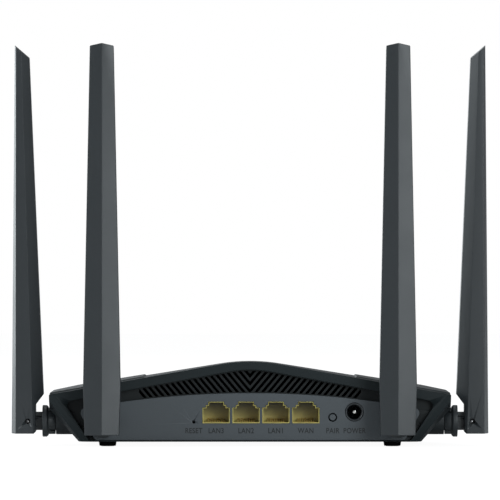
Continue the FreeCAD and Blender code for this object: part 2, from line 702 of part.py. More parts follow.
def stake_places():
    """Pins on the back of the frame's side bars that the grille is melted on to."""
    places = []
    for z in STAKE_HEIGHTS:
        climb = (z - FOOT_HEIGHT) / (FRAME_CORNER_Z - FOOT_HEIGHT)
        x = HALF_WIDTH - FRAME_LEAN * (1 - climb) - STAKE_INSET
        places += [(x, z), (-x, z)]
    return places


def panel_form(drawn_in, y, length):
    """The port panel's outline as a solid: flat bottom, leaning ends, arched top."""
    lean = math.tan(math.radians(PANEL_END_LEAN))
    frame_x = HALF_WIDTH - FRAME_LEAN - FRAME_BAR_BOTTOM
    low_x = frame_x - PANEL_END_GAP
    low_z = FOOT_HEIGHT + FRAME_RAIL + SEAM
    top_z = PANEL_CROWN + 1
    ends = outline_xz([(low_x, low_z, 1.0), (low_x + lean * (top_z - low_z), top_z, 0)], y)
    blank = prism(inset(ends, drawn_in), Y * length)
    centre = Vector(0, y, PANEL_CROWN - PANEL_ARC_RADIUS)
    arch = rod(PANEL_ARC_RADIUS - drawn_in, centre, centre + Y * length)
    solid = blank.common(arch)
    corners = [e for e in solid.Edges if is_top_corner(e, drawn_in)]
    return solid.makeFillet(PANEL_CORNER_RADIUS, corners)


def is_top_corner(edge, drawn_in):
    middle = edge.CenterOfMass
    straight = abs(edge.BoundBox.YLength - edge.Length) < 1e-6
    return straight and abs(middle.x) > HALF_WIDTH / 2 and middle.z > PARTING_Z - 3 - drawn_in


def port_outline(growth, y):
    """Stepped mouth of one Ethernet socket, centred on x = 0, with its latch notch at the top."""
    outline = outline_xz(
        [
            (PORT_HALF_WIDTH, PORT_FLOOR_Z, 0),
            (PORT_HALF_WIDTH, PORT_STEP_Z, 0),
            (PORT_STEP_HALF, PORT_STEP_Z, 0),
            (PORT_STEP_HALF, PORT_LATCH_Z, 0),
            (PORT_LATCH_HALF, PORT_LATCH_Z, 0),
            (PORT_LATCH_HALF, PORT_TOP_Z, 0),
        ],
        y,
    )
    return inset(outline, -growth)


def port_prism(growth, x, y0, y1):
    solid = prism(port_outline(growth, y0), Y * (y1 - y0))
    solid.translate(X * x)
    return solid


def io_panel():
    panel = panel_form(0, PANEL_SETBACK, PANEL_THICK)
    tab_x = REAR_HINGE_X - PANEL_TAB_TO_HINGE
    low_z = FLOOR_TOP_Z + LABEL_RECESS
    tab_y = PANEL_FRONT_Y - ROOT
    tab = box(
        tab_x - PANEL_TAB_WIDTH / 2,
        tab_x + PANEL_TAB_WIDTH / 2,
        tab_y,
        tab_y + PANEL_TAB_LENGTH,
        low_z,
        low_z + PANEL_TAB_THICK,
    )
    mouth = Vector(REAR_HINGE_X, 0, PIVOT_Z)
    socket = rod(SOCKET_RADIUS, mouth, mouth + Y * SOCKET_LENGTH)
    panel = join(panel, *both_sides(tab), *both_sides(socket))
    holes = [port_prism(PORT_RIM + PORT_CLEARANCE, x, -1, PANEL_FRONT_Y + 1) for x in PORT_XS]
    holes += both_sides(rod(SHAFT_RADIUS + SWIVEL_CLEARANCE, mouth - Y, mouth + Y * (SOCKET_LENGTH + 1)))
    round_holes = [
        (POWER_OUTER_RADIUS + POWER_CLEARANCE, POWER_X, POWER_Z),
        (PAIR_HOLE_RADIUS, PAIR_X, PAIR_Z),
        (RESET_HOLE_RADIUS, RESET_X, RESET_Z),
    ]
    for radius, x, z in round_holes:
        holes.append(rod(radius, Vector(x, 0, z), Vector(x, PANEL_FRONT_Y + 1, z)))
    return panel.cut(Part.makeCompound(holes))


def vent_grille():
    start = SHELL_REAR_Y - 1
    length = GRILLE_THICK + 2
    plate = envelope(WALL + GRILLE_EDGE_GAP).common(slab_y(SHELL_REAR_Y, GRILLE_FRONT_Y))
    plate = plate.cut(panel_form(GRILLE_OVERLAP, start, length))
    plate = plate.cut(box(-SLOT_FIELD_HALF, SLOT_FIELD_HALF, -FAR, FAR, -FAR, PORT_FLOOR_Z))
    reach = POWER_BODY_HALF + POWER_CLEARANCE
    top = POWER_Z + POWER_BODY_ABOVE + POWER_CLEARANCE
    plate = plate.cut(box(POWER_X - reach, POWER_X + reach, BLOCK_REAR_Y - POWER_CLEARANCE, FAR, -FAR, top))
    field = prism(opening_outline(SLOT_MARGIN, start), Y * length)
    field = field.cut(panel_form(-SLOT_MARGIN, start, length))
    half_field = field.common(box(0, SLOT_FIELD_HALF, -FAR, FAR, -FAR, FAR))
    lean = math.radians(SLOT_ANGLE)
    count = math.ceil((SLOT_FIELD_HALF + SLOT_APEX_Z - PANEL_CROWN) / SLOT_PITCH)
    bars = []
    for i in range(count):
        bar = Part.makeBox(FAR, length, SLOT_WIDTH, Vector(-FAR / 2, start, -SLOT_WIDTH / 2))
        bar.Placement = Placement(Vector(), Rotation(Y, -SLOT_ANGLE))
        bar.translate(Z * (SLOT_APEX_Z - SLOT_PITCH * math.tan(lean) * i))
        bars.append(bar)
    slots = Part.makeCompound(bars).common(half_field)
    holes = both_sides(slots)
    for x, z in stake_places():
        start = Vector(x, 0, z)
        holes.append(rod(STAKE_RADIUS + STAKE_CLEARANCE, start, start + Y * (GRILLE_FRONT_Y + 1)))
    centre = Vector(REAR_HINGE_X, 0, PIVOT_Z)
    holes += both_sides(rod(SOCKET_RADIUS + POCKET_CLEARANCE, centre, centre + Y * FAR))
    return plate.cut(Part.makeCompound(holes))


# ---------------------------------------------------------------- board and sockets
def main_board():
    corners = [(-1, BOARD_REAR_Y), (1, BOARD_REAR_Y), (1, BOARD_FRONT_Y), (-1, BOARD_FRONT_Y)]
    low = BOARD_TOP_Z - BOARD_THICK
    places = [Vector(side * BOARD_HALF_WIDTH, y, low) for side, y in corners]
    board = prism(wire([(place, BOARD_CORNER_RADIUS) for place in places]), Z * BOARD_THICK)
    holes = []
    for y in POST_YS:
        hole = rod(BOARD_SCREW_RADIUS + SCREW_CLEARANCE, Vector(POST_X, y, 0), Vector(POST_X, y, FAR))
        holes += both_sides(hole)
    return board.cut(Part.makeCompound(holes))


def ethernet_sockets():
    x0 = PORT_XS[0] - PORT_HALF_WIDTH - PORT_END_WALL
    x1 = PORT_XS[-1] + PORT_HALF_WIDTH + PORT_END_WALL
    back = SOCKET_MOUTH_Y + PORT_DEPTH + PORT_BACK_WALL
    block = box(x0, x1, BLOCK_REAR_Y, back, BOARD_TOP_Z, PORT_TOP_Z + PORT_ROOF)
    snouts = [port_prism(PORT_RIM, x, SOCKET_MOUTH_Y, BLOCK_REAR_Y + 1) for x in PORT_XS]
    cavities = [port_prism(0, x, SOCKET_MOUTH_Y - 1, SOCKET_MOUTH_Y + PORT_DEPTH) for x in PORT_XS]
    return join(block, *snouts).cut(Part.makeCompound(cavities))


def ethernet_contacts():
    """Sprung gold wires, rising towards the back along the floor of each socket."""
    back = SOCKET_MOUTH_Y + PORT_DEPTH
    front = back - CONTACT_REACH
    low = PORT_FLOOR_Z + CONTACT_GAP
    high = low + CONTACT_RISE
    corners = [(front, low), (back, high - CONTACT_THICK), (back, high), (front, low + CONTACT_THICK)]
    wires = []
    for x in PORT_XS:
        for i in range(CONTACTS_PER_PORT):
            left = x + (i - (CONTACTS_PER_PORT - 1) / 2) * CONTACT_PITCH - CONTACT_WIDTH / 2
            outline = wire([(Vector(left, y, z), 0) for y, z in corners])
            wires.append(prism(outline, X * CONTACT_WIDTH))
    return wires


def power_socket():
    centre = Vector(POWER_X, 0, POWER_Z)
    mouth = centre + Y * POWER_MOUTH_Y
    front = BLOCK_REAR_Y + POWER_BODY_DEPTH
    x0, x1 = POWER_X - POWER_BODY_HALF, POWER_X + POWER_BODY_HALF
    body = box(x0, x1, BLOCK_REAR_Y, front, BOARD_TOP_Z, POWER_Z + POWER_BODY_ABOVE)
    body = join(body, rod(POWER_OUTER_RADIUS, mouth, centre + Y * (BLOCK_REAR_Y + 1)))
    body = body.cut(rod(POWER_BORE_RADIUS, mouth - Y, mouth + Y * POWER_BORE_DEPTH))
    return body.cut(rod(POWER_PIN_RADIUS, mouth, mouth + Y * (POWER_BORE_DEPTH + POWER_PIN_ROOT)))


def power_pin():
    start = Vector(POWER_X, PANEL_SETBACK + POWER_PIN_SETBACK, POWER_Z)
    end = Vector(POWER_X, POWER_MOUTH_Y + POWER_BORE_DEPTH + POWER_PIN_ROOT, POWER_Z)
    pin = rod(POWER_PIN_RADIUS, start, end)
    tip = [e for e in pin.Edges if e.BoundBox.YLength < 1e-6 and abs(e.CenterOfMass.y - start.y) < 1e-6]
    return pin.makeFillet(0.6 * POWER_PIN_RADIUS, tip)


# ---------------------------------------------------------------- pairing button and reset switch
def pair_button():
    centre = Vector(PAIR_X, 0, PAIR_Z)
    back = centre + Y * (PANEL_FRONT_Y + PLUNGER_END_ROOM + PAIR_FLANGE_THICK)
    cap = rod(PAIR_RADIUS, centre + Y * (PANEL_SETBACK - PAIR_PROUD), back)
    rim = [e for e in cap.Edges if e.BoundBox.YLength < 1e-6 and e.CenterOfMass.y < PANEL_SETBACK]
    cap = cap.makeFillet(PAIR_EDGE_RADIUS, rim)
    return join(cap, rod(PAIR_HOLE_RADIUS + PAIR_FLANGE, back - Y * PAIR_FLANGE_THICK, back))


def pair_plunger():
    centre = Vector(PAIR_X, 0, PAIR_Z)
    start = PANEL_FRONT_Y + PLUNGER_END_ROOM + PAIR_FLANGE_THICK
    end = SWITCH_REAR_Y + PAIR_SWITCH_DEPTH / 2
    return rod(PAIR_PLUNGER_RADIUS, centre + Y * start, centre + Y * end)


def pair_switch():
    x0, x1 = PAIR_X - PAIR_SWITCH_WIDTH / 2, PAIR_X + PAIR_SWITCH_WIDTH / 2
    front = SWITCH_REAR_Y + PAIR_SWITCH_DEPTH
    body = box(x0, x1, SWITCH_REAR_Y, front, BOARD_TOP_Z, PAIR_Z + PAIR_SWITCH_ABOVE)
    centre = Vector(PAIR_X, 0, PAIR_Z)
    bottom = SWITCH_REAR_Y + PAIR_SWITCH_DEPTH / 2 + PAIR_TRAVEL + PLUNGER_END_ROOM
    return body.cut(rod(PAIR_PLUNGER_RADIUS + PLUNGER_CLEARANCE, centre, centre + Y * bottom))


def reset_plunger():
    centre = Vector(RESET_X, 0, RESET_Z)
    start = PANEL_FRONT_Y + 2 * PLUNGER_END_ROOM
    end = SWITCH_REAR_Y + RESET_SWITCH_DEPTH / 2
    return rod(RESET_PLUNGER_RADIUS, centre + Y * start, centre + Y * end)


def reset_switch():
    x0, x1 = RESET_X - RESET_SWITCH_WIDTH / 2, RESET_X + RESET_SWITCH_WIDTH / 2
    front = SWITCH_REAR_Y + RESET_SWITCH_DEPTH
    body = box(x0, x1, SWITCH_REAR_Y, front, BOARD_TOP_Z, RESET_Z + RESET_SWITCH_ABOVE)
    centre = Vector(RESET_X, 0, RESET_Z)
    bottom = SWITCH_REAR_Y + RESET_SWITCH_DEPTH / 2 + RESET_TRAVEL + PLUNGER_END_ROOM
    return body.cut(rod(RESET_PLUNGER_RADIUS + PLUNGER_CLEARANCE, centre, centre + Y * bottom))


# ---------------------------------------------------------------- other board parts
def on_board(x, y, width, depth, height, lift=0.0):
    """Block standing on the board, centred on x and y."""
    low = BOARD_TOP_Z + lift
    return box(x - width / 2, x + width / 2, y - depth / 2, y + depth / 2, low, low + height)


def radio_shields():
    """Two folded tin lids over the radio circuits, open underneath."""
    inner, outer = SINK_SIDE / 2 + SHIELD_TO_SINK, POST_X - SHIELD_TO_POST
    fields = [
        (-outer, -inner, LEFT_SHIELD_REAR_Y, BODY_DEPTH - LEFT_SHIELD_SETBACK),
        (inner, outer, RIGHT_SHIELD_REAR_Y, BODY_DEPTH - RIGHT_SHIELD_SETBACK),
    ]
    shields = []
    for x0, x1, y0, y1 in fields:
        lid = box(x0, x1, y0, y1, BOARD_TOP_Z, BOARD_TOP_Z + SHIELD_HEIGHT)
        t = SHIELD_WALL
        room = box(x0 + t, x1 - t, y0 + t, y1 - t, BOARD_TOP_Z - t, BOARD_TOP_Z + SHIELD_HEIGHT - t)
        shields.append(lid.cut(room))
    return shields


def heat_sink():
    """Extruded aluminium: a base plate with upright fins."""
    lift = CHIP_HEIGHT + PAD_HEIGHT
    base = on_board(0, CHIP_Y, SINK_SIDE, SINK_SIDE, SINK_BASE, lift)
    fins = []
    sunk = SINK_BASE / 2
    for i in range(FIN_COUNT):
        x = (i - (FIN_COUNT - 1) / 2) * FIN_PITCH
        fins.append(on_board(x, CHIP_Y, FIN_THICK, SINK_SIDE, FIN_HEIGHT + sunk, lift + sunk))
    return join(base, *fins)


def memory_chips():
    y = (CHIP_Y + SINK_SIDE / 2 + LED_Y) / 2
    return [on_board(x, y, width, MEMORY_DEPTH, MEMORY_HEIGHT) for x, width in MEMORY_SIZES]


def magnetics():
    """One line transformer in front of each socket."""
    width = PORT_PITCH - TRANSFORMER_GAP
    return [on_board(x, TRANSFORMER_Y, width, TRANSFORMER_DEPTH, TRANSFORMER_HEIGHT) for x in PORT_XS]


def capacitors():
    left = -BOARD_HALF_WIDTH
    places = [(POWER_X - 1.5, 24.0), (left + 19.0, 37.0), (left + 11.0, 37.0)]
    lows = [Vector(x, y, BOARD_TOP_Z) for x, y in places]
    return [rod(CAN_RADIUS, low, low + Z * CAN_HEIGHT) for low in lows]


def inductors():
    return [on_board(POWER_X - 7.5, y, COIL_SIDE, COIL_SIDE, COIL_HEIGHT) for y in (33.0, 42.0)]


def led_chips():
    return [on_board(x, LED_Y, LED_WIDTH, LED_DEPTH, LED_HEIGHT) for x in led_xs()]


def light_pipe():
    """One clear moulding: a bar over the lamps with a post up to each window."""
    low = Vector(0, LED_Y, BOARD_TOP_Z + PIPE_BAR_LIFT + ROOT)
    length = 2 * (led_xs()[-1] + PIPE_BAR_END)
    bar = on_board(0, LED_Y, length, PIPE_BAR_WIDTH, PIPE_BAR_THICK, PIPE_BAR_LIFT)
    posts = [rod(PIPE_RADIUS, low + X * x, low + X * x + Z * FAR) for x in led_xs()]
    return join(bar, *[post.common(OUTER) for post in posts])


# ---------------------------------------------------------------- feet, screws, leads
def rubber_feet():
    feet = []
    for x, y in FOOT_PLACES:
        seat = rod(FOOT_RADIUS_TOP, Vector(x, y, FOOT_HEIGHT), Vector(x, y, FOOT_HEIGHT + FOOT_RECESS))
        pad = cone(FOOT_RADIUS_BOTTOM, FOOT_RADIUS_TOP, Vector(x, y, 0), Vector(x, y, FOOT_HEIGHT))
        feet += both_sides(join(seat, pad))
    return feet


def screw(seat, tip_z, radius, head_radius, head_height):
    """Pan-head screw with a cross recess; its head lies on the far side of the seat from its tip."""
    way = Z if tip_z < seat.z else -Z
    top = seat + way * head_height
    shank = rod(radius, Vector(seat.x, seat.y, tip_z), seat + way * head_height / 2)
    head = rod(head_radius, seat, top)
    arms = [(CROSS_REACH, CROSS_HALF_WIDTH), (CROSS_HALF_WIDTH, CROSS_REACH)]
    low, high = top.z - CROSS_DEPTH, top.z + CROSS_DEPTH
    cross = [box(top.x - a, top.x + a, top.y - b, top.y + b, low, high) for a, b in arms]
    return join(shank, head).cut(Part.makeCompound(cross))


def board_screws():
    screws = []
    for y in POST_YS:
        seat = Vector(POST_X, y, BOARD_TOP_Z)
        tip_z = FOOT_HEIGHT + WALL / 2 + SCREW_CLEARANCE
        screws += both_sides(
            screw(seat, tip_z, BOARD_SCREW_RADIUS, BOARD_SCREW_HEAD_RADIUS, BOARD_SCREW_HEAD_HEIGHT)
        )
    return screws


def case_screws():
    screws = []
    for x, y in CASE_SCREW_PLACES:
        seat = Vector(x, y, FLOOR_TOP_Z + CASE_SCREW_SEAT)
        tip_z = seat.z + CASE_SCREW_LENGTH
        screws += both_sides(
            screw(seat, tip_z, CASE_SCREW_RADIUS, CASE_SCREW_HEAD_RADIUS, CASE_SCREW_HEAD_HEIGHT)
        )
    return screws


def lead(points, radius):
    """Coaxial lead through the points, its corners rounded by tangent arcs."""
    edges = []
    here = points[0]
    for i in range(1, len(points) - 1):
        back = (points[i - 1] - points[i]).normalize()
        ahead = (points[i + 1] - points[i]).normalize()
        half = back.getAngle(ahead) / 2
        reach = radius / math.tan(half)
        middle = points[i] + (back + ahead).normalize() * (radius / math.sin(half) - radius)
        edges.append(Part.makeLine(here, points[i] + back * reach))
        edges.append(Part.Arc(points[i] + back * reach, middle, points[i] + ahead * reach).toShape())
        here = points[i] + ahead * reach
    edges.append(Part.makeLine(here, points[-1]))
    path = Part.Wire(edges)
    circle = Part.Wire(Part.makeCircle(LEAD_RADIUS, points[0], points[1] - points[0]))
    return path.makePipeShell([circle], True, False)


def lead_start(y):
    return Vector(CONNECTOR_X + CONNECTOR_RADIUS + LEAD_GAP, y, BOARD_TOP_Z + LEAD_LIFT)


def rear_lead():
    """From its board connector into the rear hinge's hollow shaft."""
    start = lead_start(REAR_CONNECTOR_Y)
    turn = Vector(REAR_HINGE_X, REAR_CONNECTOR_Y, PIVOT_Z)
    return lead([start, turn, Vector(REAR_HINGE_X, 2.0, PIVOT_Z)], REAR_LEAD_BEND)


def side_lead():
    """From its board connector into the side hinge's hollow shaft."""
    start = lead_start(SIDE_CONNECTOR_Y)
    bend_x = REAR_HINGE_X + SIDE_LEAD_OFFSET
    turns = [Vector(bend_x, start.y, start.z), Vector(bend_x, SIDE_HINGE_Y, PIVOT_Z)]
    return lead([start] + turns + [side_axis(1, -SOCKET_REACH - 1.0)], SIDE_LEAD_BEND)


def lead_connectors():
    plugs = []
    for y in (REAR_CONNECTOR_Y, SIDE_CONNECTOR_Y):
        low = Vector(CONNECTOR_X, y, BOARD_TOP_Z)
        plugs += both_sides(rod(CONNECTOR_RADIUS, low, low + Z * CONNECTOR_HEIGHT))
    return plugs


# ---------------------------------------------------------------- hinge and blade, in hinge coordinates
def hinge_barrel():
    """Collar, neck and snap-in shaft along u, with the tongue that the blade pivots on."""
    mouth = -SOCKET_REACH
    inner = mouth - SOCKET_LENGTH - AXIAL_CLEARANCE
    shaft_end = inner - BARB_LENGTH
    collar = rod(COLLAR_RADIUS, X * COLLAR_INNER_U, X * COLLAR_OUTER_U)
    flat = [e for e in collar.Edges if e.BoundBox.XLength < 1e-6]
    bevelled = [e for e in flat if e.CenterOfMass.x < COLLAR_INNER_U + COLLAR_BEVEL]
    collar = collar.makeChamfer(COLLAR_BEVEL, bevelled)
    neck = rod(NECK_RADIUS, X * (mouth + AXIAL_CLEARANCE), X * COLLAR_INNER_U)
    shaft = rod(SHAFT_RADIUS, X * shaft_end, X * (COLLAR_INNER_U + ROOT))
    barb = cone(SHAFT_RADIUS - ROOT / 2, BARB_RADIUS, X * shaft_end, X * inner)
    half_thick = TONGUE_THICK / 2
    arm = box(COLLAR_OUTER_U - ROOT, 0, -half_thick, half_thick, -TONGUE_HALF_HEIGHT, TONGUE_HALF_HEIGHT)
    knuckle = rod(TONGUE_HALF_HEIGHT, Y * -half_thick, Y * half_thick)
    barrel = join(collar, neck, shaft, barb, arm, knuckle)
    cuts = [rod(PIN_RADIUS + PIN_CLEARANCE, Y * -TONGUE_THICK, Y * TONGUE_THICK)]
    cuts.append(rod(LEAD_BORE_RADIUS, X * (shaft_end - 1), X * -2 * PIN_RADIUS))
    cuts.append(box(shaft_end - 1, mouth - 1, -SPLIT_HALF, SPLIT_HALF, -COLLAR_RADIUS, COLLAR_RADIUS))
    for turn in (45, 135):
        across = COLLAR_RADIUS
        slit = box(mouth, COLLAR_INNER_U - SPLIT_HALF, -GRIP_SLIT_HALF, GRIP_SLIT_HALF, -across, across)
        slit = slit.cut(rod(NECK_RADIUS - GRIP_SLIT_DEPTH, X * (mouth - 1), X * COLLAR_INNER_U))
        slit.rotate(Vector(), X, turn)
        cuts.append(slit)
    low, high = TONGUE_GROOVE
    for side in (1, -1):
        edge = side * half_thick
        cuts.append(box(COLLAR_OUTER_U, 1, edge - TONGUE_GROOVE_DEPTH, edge + TONGUE_GROOVE_DEPTH, low, high))
    return barrel.cut(Part.makeCompound(cuts))


def between(ends, height, low=BLADE_BOTTOM, high=BLADE_TOP):
    """Straight-line value of a blade size, given at its bottom and top, at a height."""
    start, end = ends.values()
    return start + (end - start) * (height - low) / (high - low)


def half_width(height):
    """Half of the blade's width: it swells up to the waist, then tapers to the tip."""
    waist = BLADE_HALF_WIDTH["waist"]
    if height < BLADE_WAIST:
        return between({"bottom": BLADE_HALF_WIDTH["bottom"], "waist": waist}, height, high=BLADE_WAIST)
    return between({"waist": waist, "top": BLADE_HALF_WIDTH["top"]}, height, low=BLADE_WAIST)


def blade_outline(height, drawn_in):
    """Seven-sided section of the blade: outer ridge, two side edges, two folds and a flat back."""
    width = half_width(height)
    half = [(EDGE_U, width), (between(FOLD_U, height), width), (between(BACK_U, height), width * BACK_SHARE)]
    points = [(between(RIDGE_U, height), 0)] + half + [(u, -v) for u, v in reversed(half)]
    outline = wire([(Vector(u, v, height), 0) for u, v in points])
    return inset(outline, drawn_in)


def blade_form(drawn_in, low, high):
    """Blade between two heights, in straight-sided lofts that meet at its widest section."""
    heights = sorted({low, max(low, BLADE_WAIST), high})
    spans = zip(heights, heights[1:])
    lofts = []
    for start, end in spans:
        sections = [blade_outline(start, drawn_in), blade_outline(end, drawn_in)]
        lofts.append(Part.makeLoft(sections, True, True))
    return join(*lofts)


def heel_cut():
    """What is taken off the back of the blade's foot, so that it clears the collar when it folds."""
    back = 2 * BACK_U["bottom"]
    below = BLADE_BOTTOM - 1
    corners = [
        (HEEL_U + HEEL_BEVEL, BLADE_BOTTOM),
        (HEEL_U, BLADE_BOTTOM + HEEL_BEVEL),
        (HEEL_U, HEEL_CHAMFER_LOW),
        (back, HEEL_CHAMFER_LOW + HEEL_SLOPE * (HEEL_U - back)),
        (back, below),
        (HEEL_U + HEEL_BEVEL, below),
    ]
    return prism(wire([(Vector(u, -FAR / 2, h), 0) for u, h in corners]), Y * FAR)


def tip_cuts():
    """Two planes that slant the tip back and down from the end of the ridge."""
    tip = Vector(RIDGE_U["top"], 0, BLADE_TOP)
    behind = Vector(BACK_U["top"], 0, BLADE_TOP - TIP_BACK_DROP)
    cuts = []
    for side in (1, -1):
        edge = Vector(EDGE_U, side * BLADE_HALF_WIDTH["top"], BLADE_TOP - TIP_SIDE_DROP)
        up = (behind - tip).cross(edge - tip) * side
        cuts.append(beyond(tip, up if up.z > 0 else -up))
    return cuts


def foot_outline():
    """The blade seen along u, with its two bottom corners rounded."""
    waist = BLADE_HALF_WIDTH["waist"]
    corners = [
        (BLADE_HALF_WIDTH["bottom"], BLADE_BOTTOM, FOOT_CORNER),
        (waist, BLADE_WAIST, 0),
        (waist * 2, BLADE_WAIST + 1, 0),
        (waist * 2, BLADE_TOP * 2, 0),
    ]
    right = [(Vector(-FAR / 2, v, h), r) for v, h, r in corners]
    left = [(Vector(p.x, -p.y, p.z), r) for p, r in reversed(right)]
    return wire(right + left)


def blade():
    """Hollow blade with its heel, slanted tip, rounded foot and hinge slot."""
    form = blade_form(0, BLADE_BOTTOM, BLADE_TOP + 1).cut(heel_cut())
    for cut in tip_cuts():
        form = form.cut(cut)
    form = form.common(prism(foot_outline(), X * FAR))
    gap = TONGUE_THICK / 2 + TONGUE_GAP
    reach = TONGUE_HALF_HEIGHT + TONGUE_GAP
    behind = 2 * BACK_U["bottom"]
    slot = join(
        box(behind, reach, -gap, gap, behind, 0),
        box(behind, 0, -gap, gap, -1, reach),
        rod(reach, Y * -gap, Y * gap),
    )
    form = form.cut(slot).cut(rod(PIN_RADIUS, Y * -FAR, Y * FAR))
    return form.cut(blade_form(BLADE_WALL, CAVITY_BOTTOM, BLADE_TOP - CAVITY_TIP_GAP))


def fold_plane():
    """Block on the back side of the plane through the blade's two folds."""
    low = Vector(FOLD_U["bottom"], 0, BLADE_BOTTOM)
    high = Vector(FOLD_U["top"], 0, BLADE_TOP)
    return beyond(low, (high - low).cross(Y))


def radiator():
    """Printed aerial that stands in the blade's hollow."""
    half, top = ELEMENT_HALF_WIDTH, BLADE_TOP - ELEMENT_TIP_GAP
    return box(ELEMENT_U, ELEMENT_U + ELEMENT_THICK, -half, half, ELEMENT_BOTTOM, top)


def pivot_pin():
    return rod(PIN_RADIUS, Y * -PIN_HALF_LENGTH, Y * PIN_HALF_LENGTH)


# ---------------------------------------------------------------- write every piece
save("bottom_case", bottom_case())
save("top_cover", top_cover())
save("rear_frame", rear_frame())
save("io_panel", io_panel())
save("vent_grille", vent_grille())
save("main_board", main_board())
save("ethernet_sockets", ethernet_sockets())
save("ethernet_contacts", ethernet_contacts())
save("power_socket", power_socket())
save("power_pin", power_pin())
save("pair_button", pair_button())
save("pair_plunger", pair_plunger())
save("pair_switch", pair_switch())
save("reset_plunger", reset_plunger())
save("reset_switch", reset_switch())
save("radio_shields", radio_shields())
save("processor", on_board(0, CHIP_Y, CHIP_SIDE, CHIP_SIDE, CHIP_HEIGHT))
save("thermal_pad", on_board(0, CHIP_Y, CHIP_SIDE, CHIP_SIDE, PAD_HEIGHT, CHIP_HEIGHT))
save("heat_sink", heat_sink())
save("memory_chips", memory_chips())
save("magnetics", magnetics())
save("capacitors", capacitors())
save("inductors", inductors())
save("led_chips", led_chips())
save("light_pipe", light_pipe())
save("rubber_feet", rubber_feet())
save("board_screws", board_screws())
save("case_screws", case_screws())
save("rating_label", label_plate(LABEL_THICK))
save("lead_connectors", lead_connectors())
leads = {"left_rear": mirrored(rear_lead()), "right_rear": rear_lead()}
leads.update({"left_side": mirrored(side_lead()), "right_side": side_lead()})
whole_blade = blade()
behind_fold = fold_plane()
hinge_pieces = {
    "hinge_barrel": hinge_barrel(),
    "antenna_front": whole_blade.cut(behind_fold),
    "antenna_back": whole_blade.common(behind_fold),
    "antenna_radiator": radiator(),
    "pivot_pin": pivot_pin(),
}
for place, (x, y, turn) in ANTENNAS.items():
    save("antenna_lead_" + place, leads[place])
    for piece, solid in hinge_pieces.items():
        placed = solid.copy()
        placed.Placement = Placement(Vector(x, y, PIVOT_Z), Rotation(Z, turn)).multiply(placed.Placement)
        save(piece + "_" + place, placed)
print(f"whole object {2 * (SIDE_PIVOT_X + RIDGE_U['bottom']):.1f} wide, {BODY_DEPTH + REACH_BEHIND:.1f} deep")
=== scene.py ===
import math

import bmesh
import bpy
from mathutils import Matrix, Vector
from mathutils.kdtree import KDTree


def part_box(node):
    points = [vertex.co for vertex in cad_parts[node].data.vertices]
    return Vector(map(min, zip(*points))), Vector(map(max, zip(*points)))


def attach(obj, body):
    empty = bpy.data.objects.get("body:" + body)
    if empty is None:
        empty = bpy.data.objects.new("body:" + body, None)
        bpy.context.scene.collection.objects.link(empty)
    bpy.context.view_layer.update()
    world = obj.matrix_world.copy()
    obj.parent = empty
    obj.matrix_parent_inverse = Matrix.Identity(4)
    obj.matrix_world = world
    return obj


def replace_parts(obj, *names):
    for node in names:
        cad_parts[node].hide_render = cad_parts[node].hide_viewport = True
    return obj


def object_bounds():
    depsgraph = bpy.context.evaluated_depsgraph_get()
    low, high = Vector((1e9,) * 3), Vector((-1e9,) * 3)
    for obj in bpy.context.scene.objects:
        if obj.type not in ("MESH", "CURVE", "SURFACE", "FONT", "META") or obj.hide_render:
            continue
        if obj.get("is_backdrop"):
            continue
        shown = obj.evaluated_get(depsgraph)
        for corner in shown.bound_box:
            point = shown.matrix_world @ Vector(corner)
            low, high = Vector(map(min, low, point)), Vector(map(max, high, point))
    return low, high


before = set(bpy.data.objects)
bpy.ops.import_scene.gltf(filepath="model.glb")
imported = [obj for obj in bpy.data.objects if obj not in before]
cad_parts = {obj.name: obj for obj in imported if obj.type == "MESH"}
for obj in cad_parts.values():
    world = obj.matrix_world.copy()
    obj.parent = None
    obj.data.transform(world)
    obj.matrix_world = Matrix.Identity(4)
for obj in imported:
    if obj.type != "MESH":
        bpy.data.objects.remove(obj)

# ---------------------------------------------------------------- camera, light and floor
# The router stands on a pale floor with its ports towards the camera, which looks at it on the level
# through a long lens. Four large softboxes light it: their mirror images in the flat faces of the
# antennas decide how bright each face looks.
MM = 0.001
CAMERA_AWAY = 3.05
CAMERA_HEIGHT = 0.0894
PORTS_AWAY = 3.0
PICTURE_WIDTH = 0.2273
LIGHT_COLOUR = (0.90, 0.97, 1.0)
SKY_COLOUR = (0.92, 0.96, 1.0, 1)
SKY_STRENGTH = 0.30
WHITE = (1, 1, 1, 1)
FLOOR_HALF = 4.0
FLOOR_COLOUR = (0.88, 0.88, 0.88, 1)
FLOOR_GLOW = 1.12
FLOOR_GLOW_SHARE = 0.85  # of what the camera sees of the floor
SOFTBOXES = {
    # name: degrees left of the camera, degrees above the floor, distance, width, height, brightness
    "behind_left": (150, 14, 2.2, 1.4, 1.6, 2.6),
    "left": (68, 24, 1.5, 0.7, 1.1, 4.6),
    "right": (-29, 12, 2.0, 0.8, 1.4, 6.6),
    "overhead": (180, 72, 1.9, 2.0, 1.2, 1.3),
}

scene = bpy.context.scene
scene.view_settings.view_transform = "Standard"
cad_low, cad_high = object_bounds()

camera_data = bpy.data.cameras.new("camera")
camera_data.sensor_width = 36.0
camera_data.lens = camera_data.sensor_width * PORTS_AWAY / PICTURE_WIDTH
camera_data.clip_end = 50.0
camera = bpy.data.objects.new("camera", camera_data)
camera.location = (0, -CAMERA_AWAY, CAMERA_HEIGHT)
camera.rotation_euler = (math.pi / 2, 0, 0)
scene.collection.objects.link(camera)
scene.camera = camera

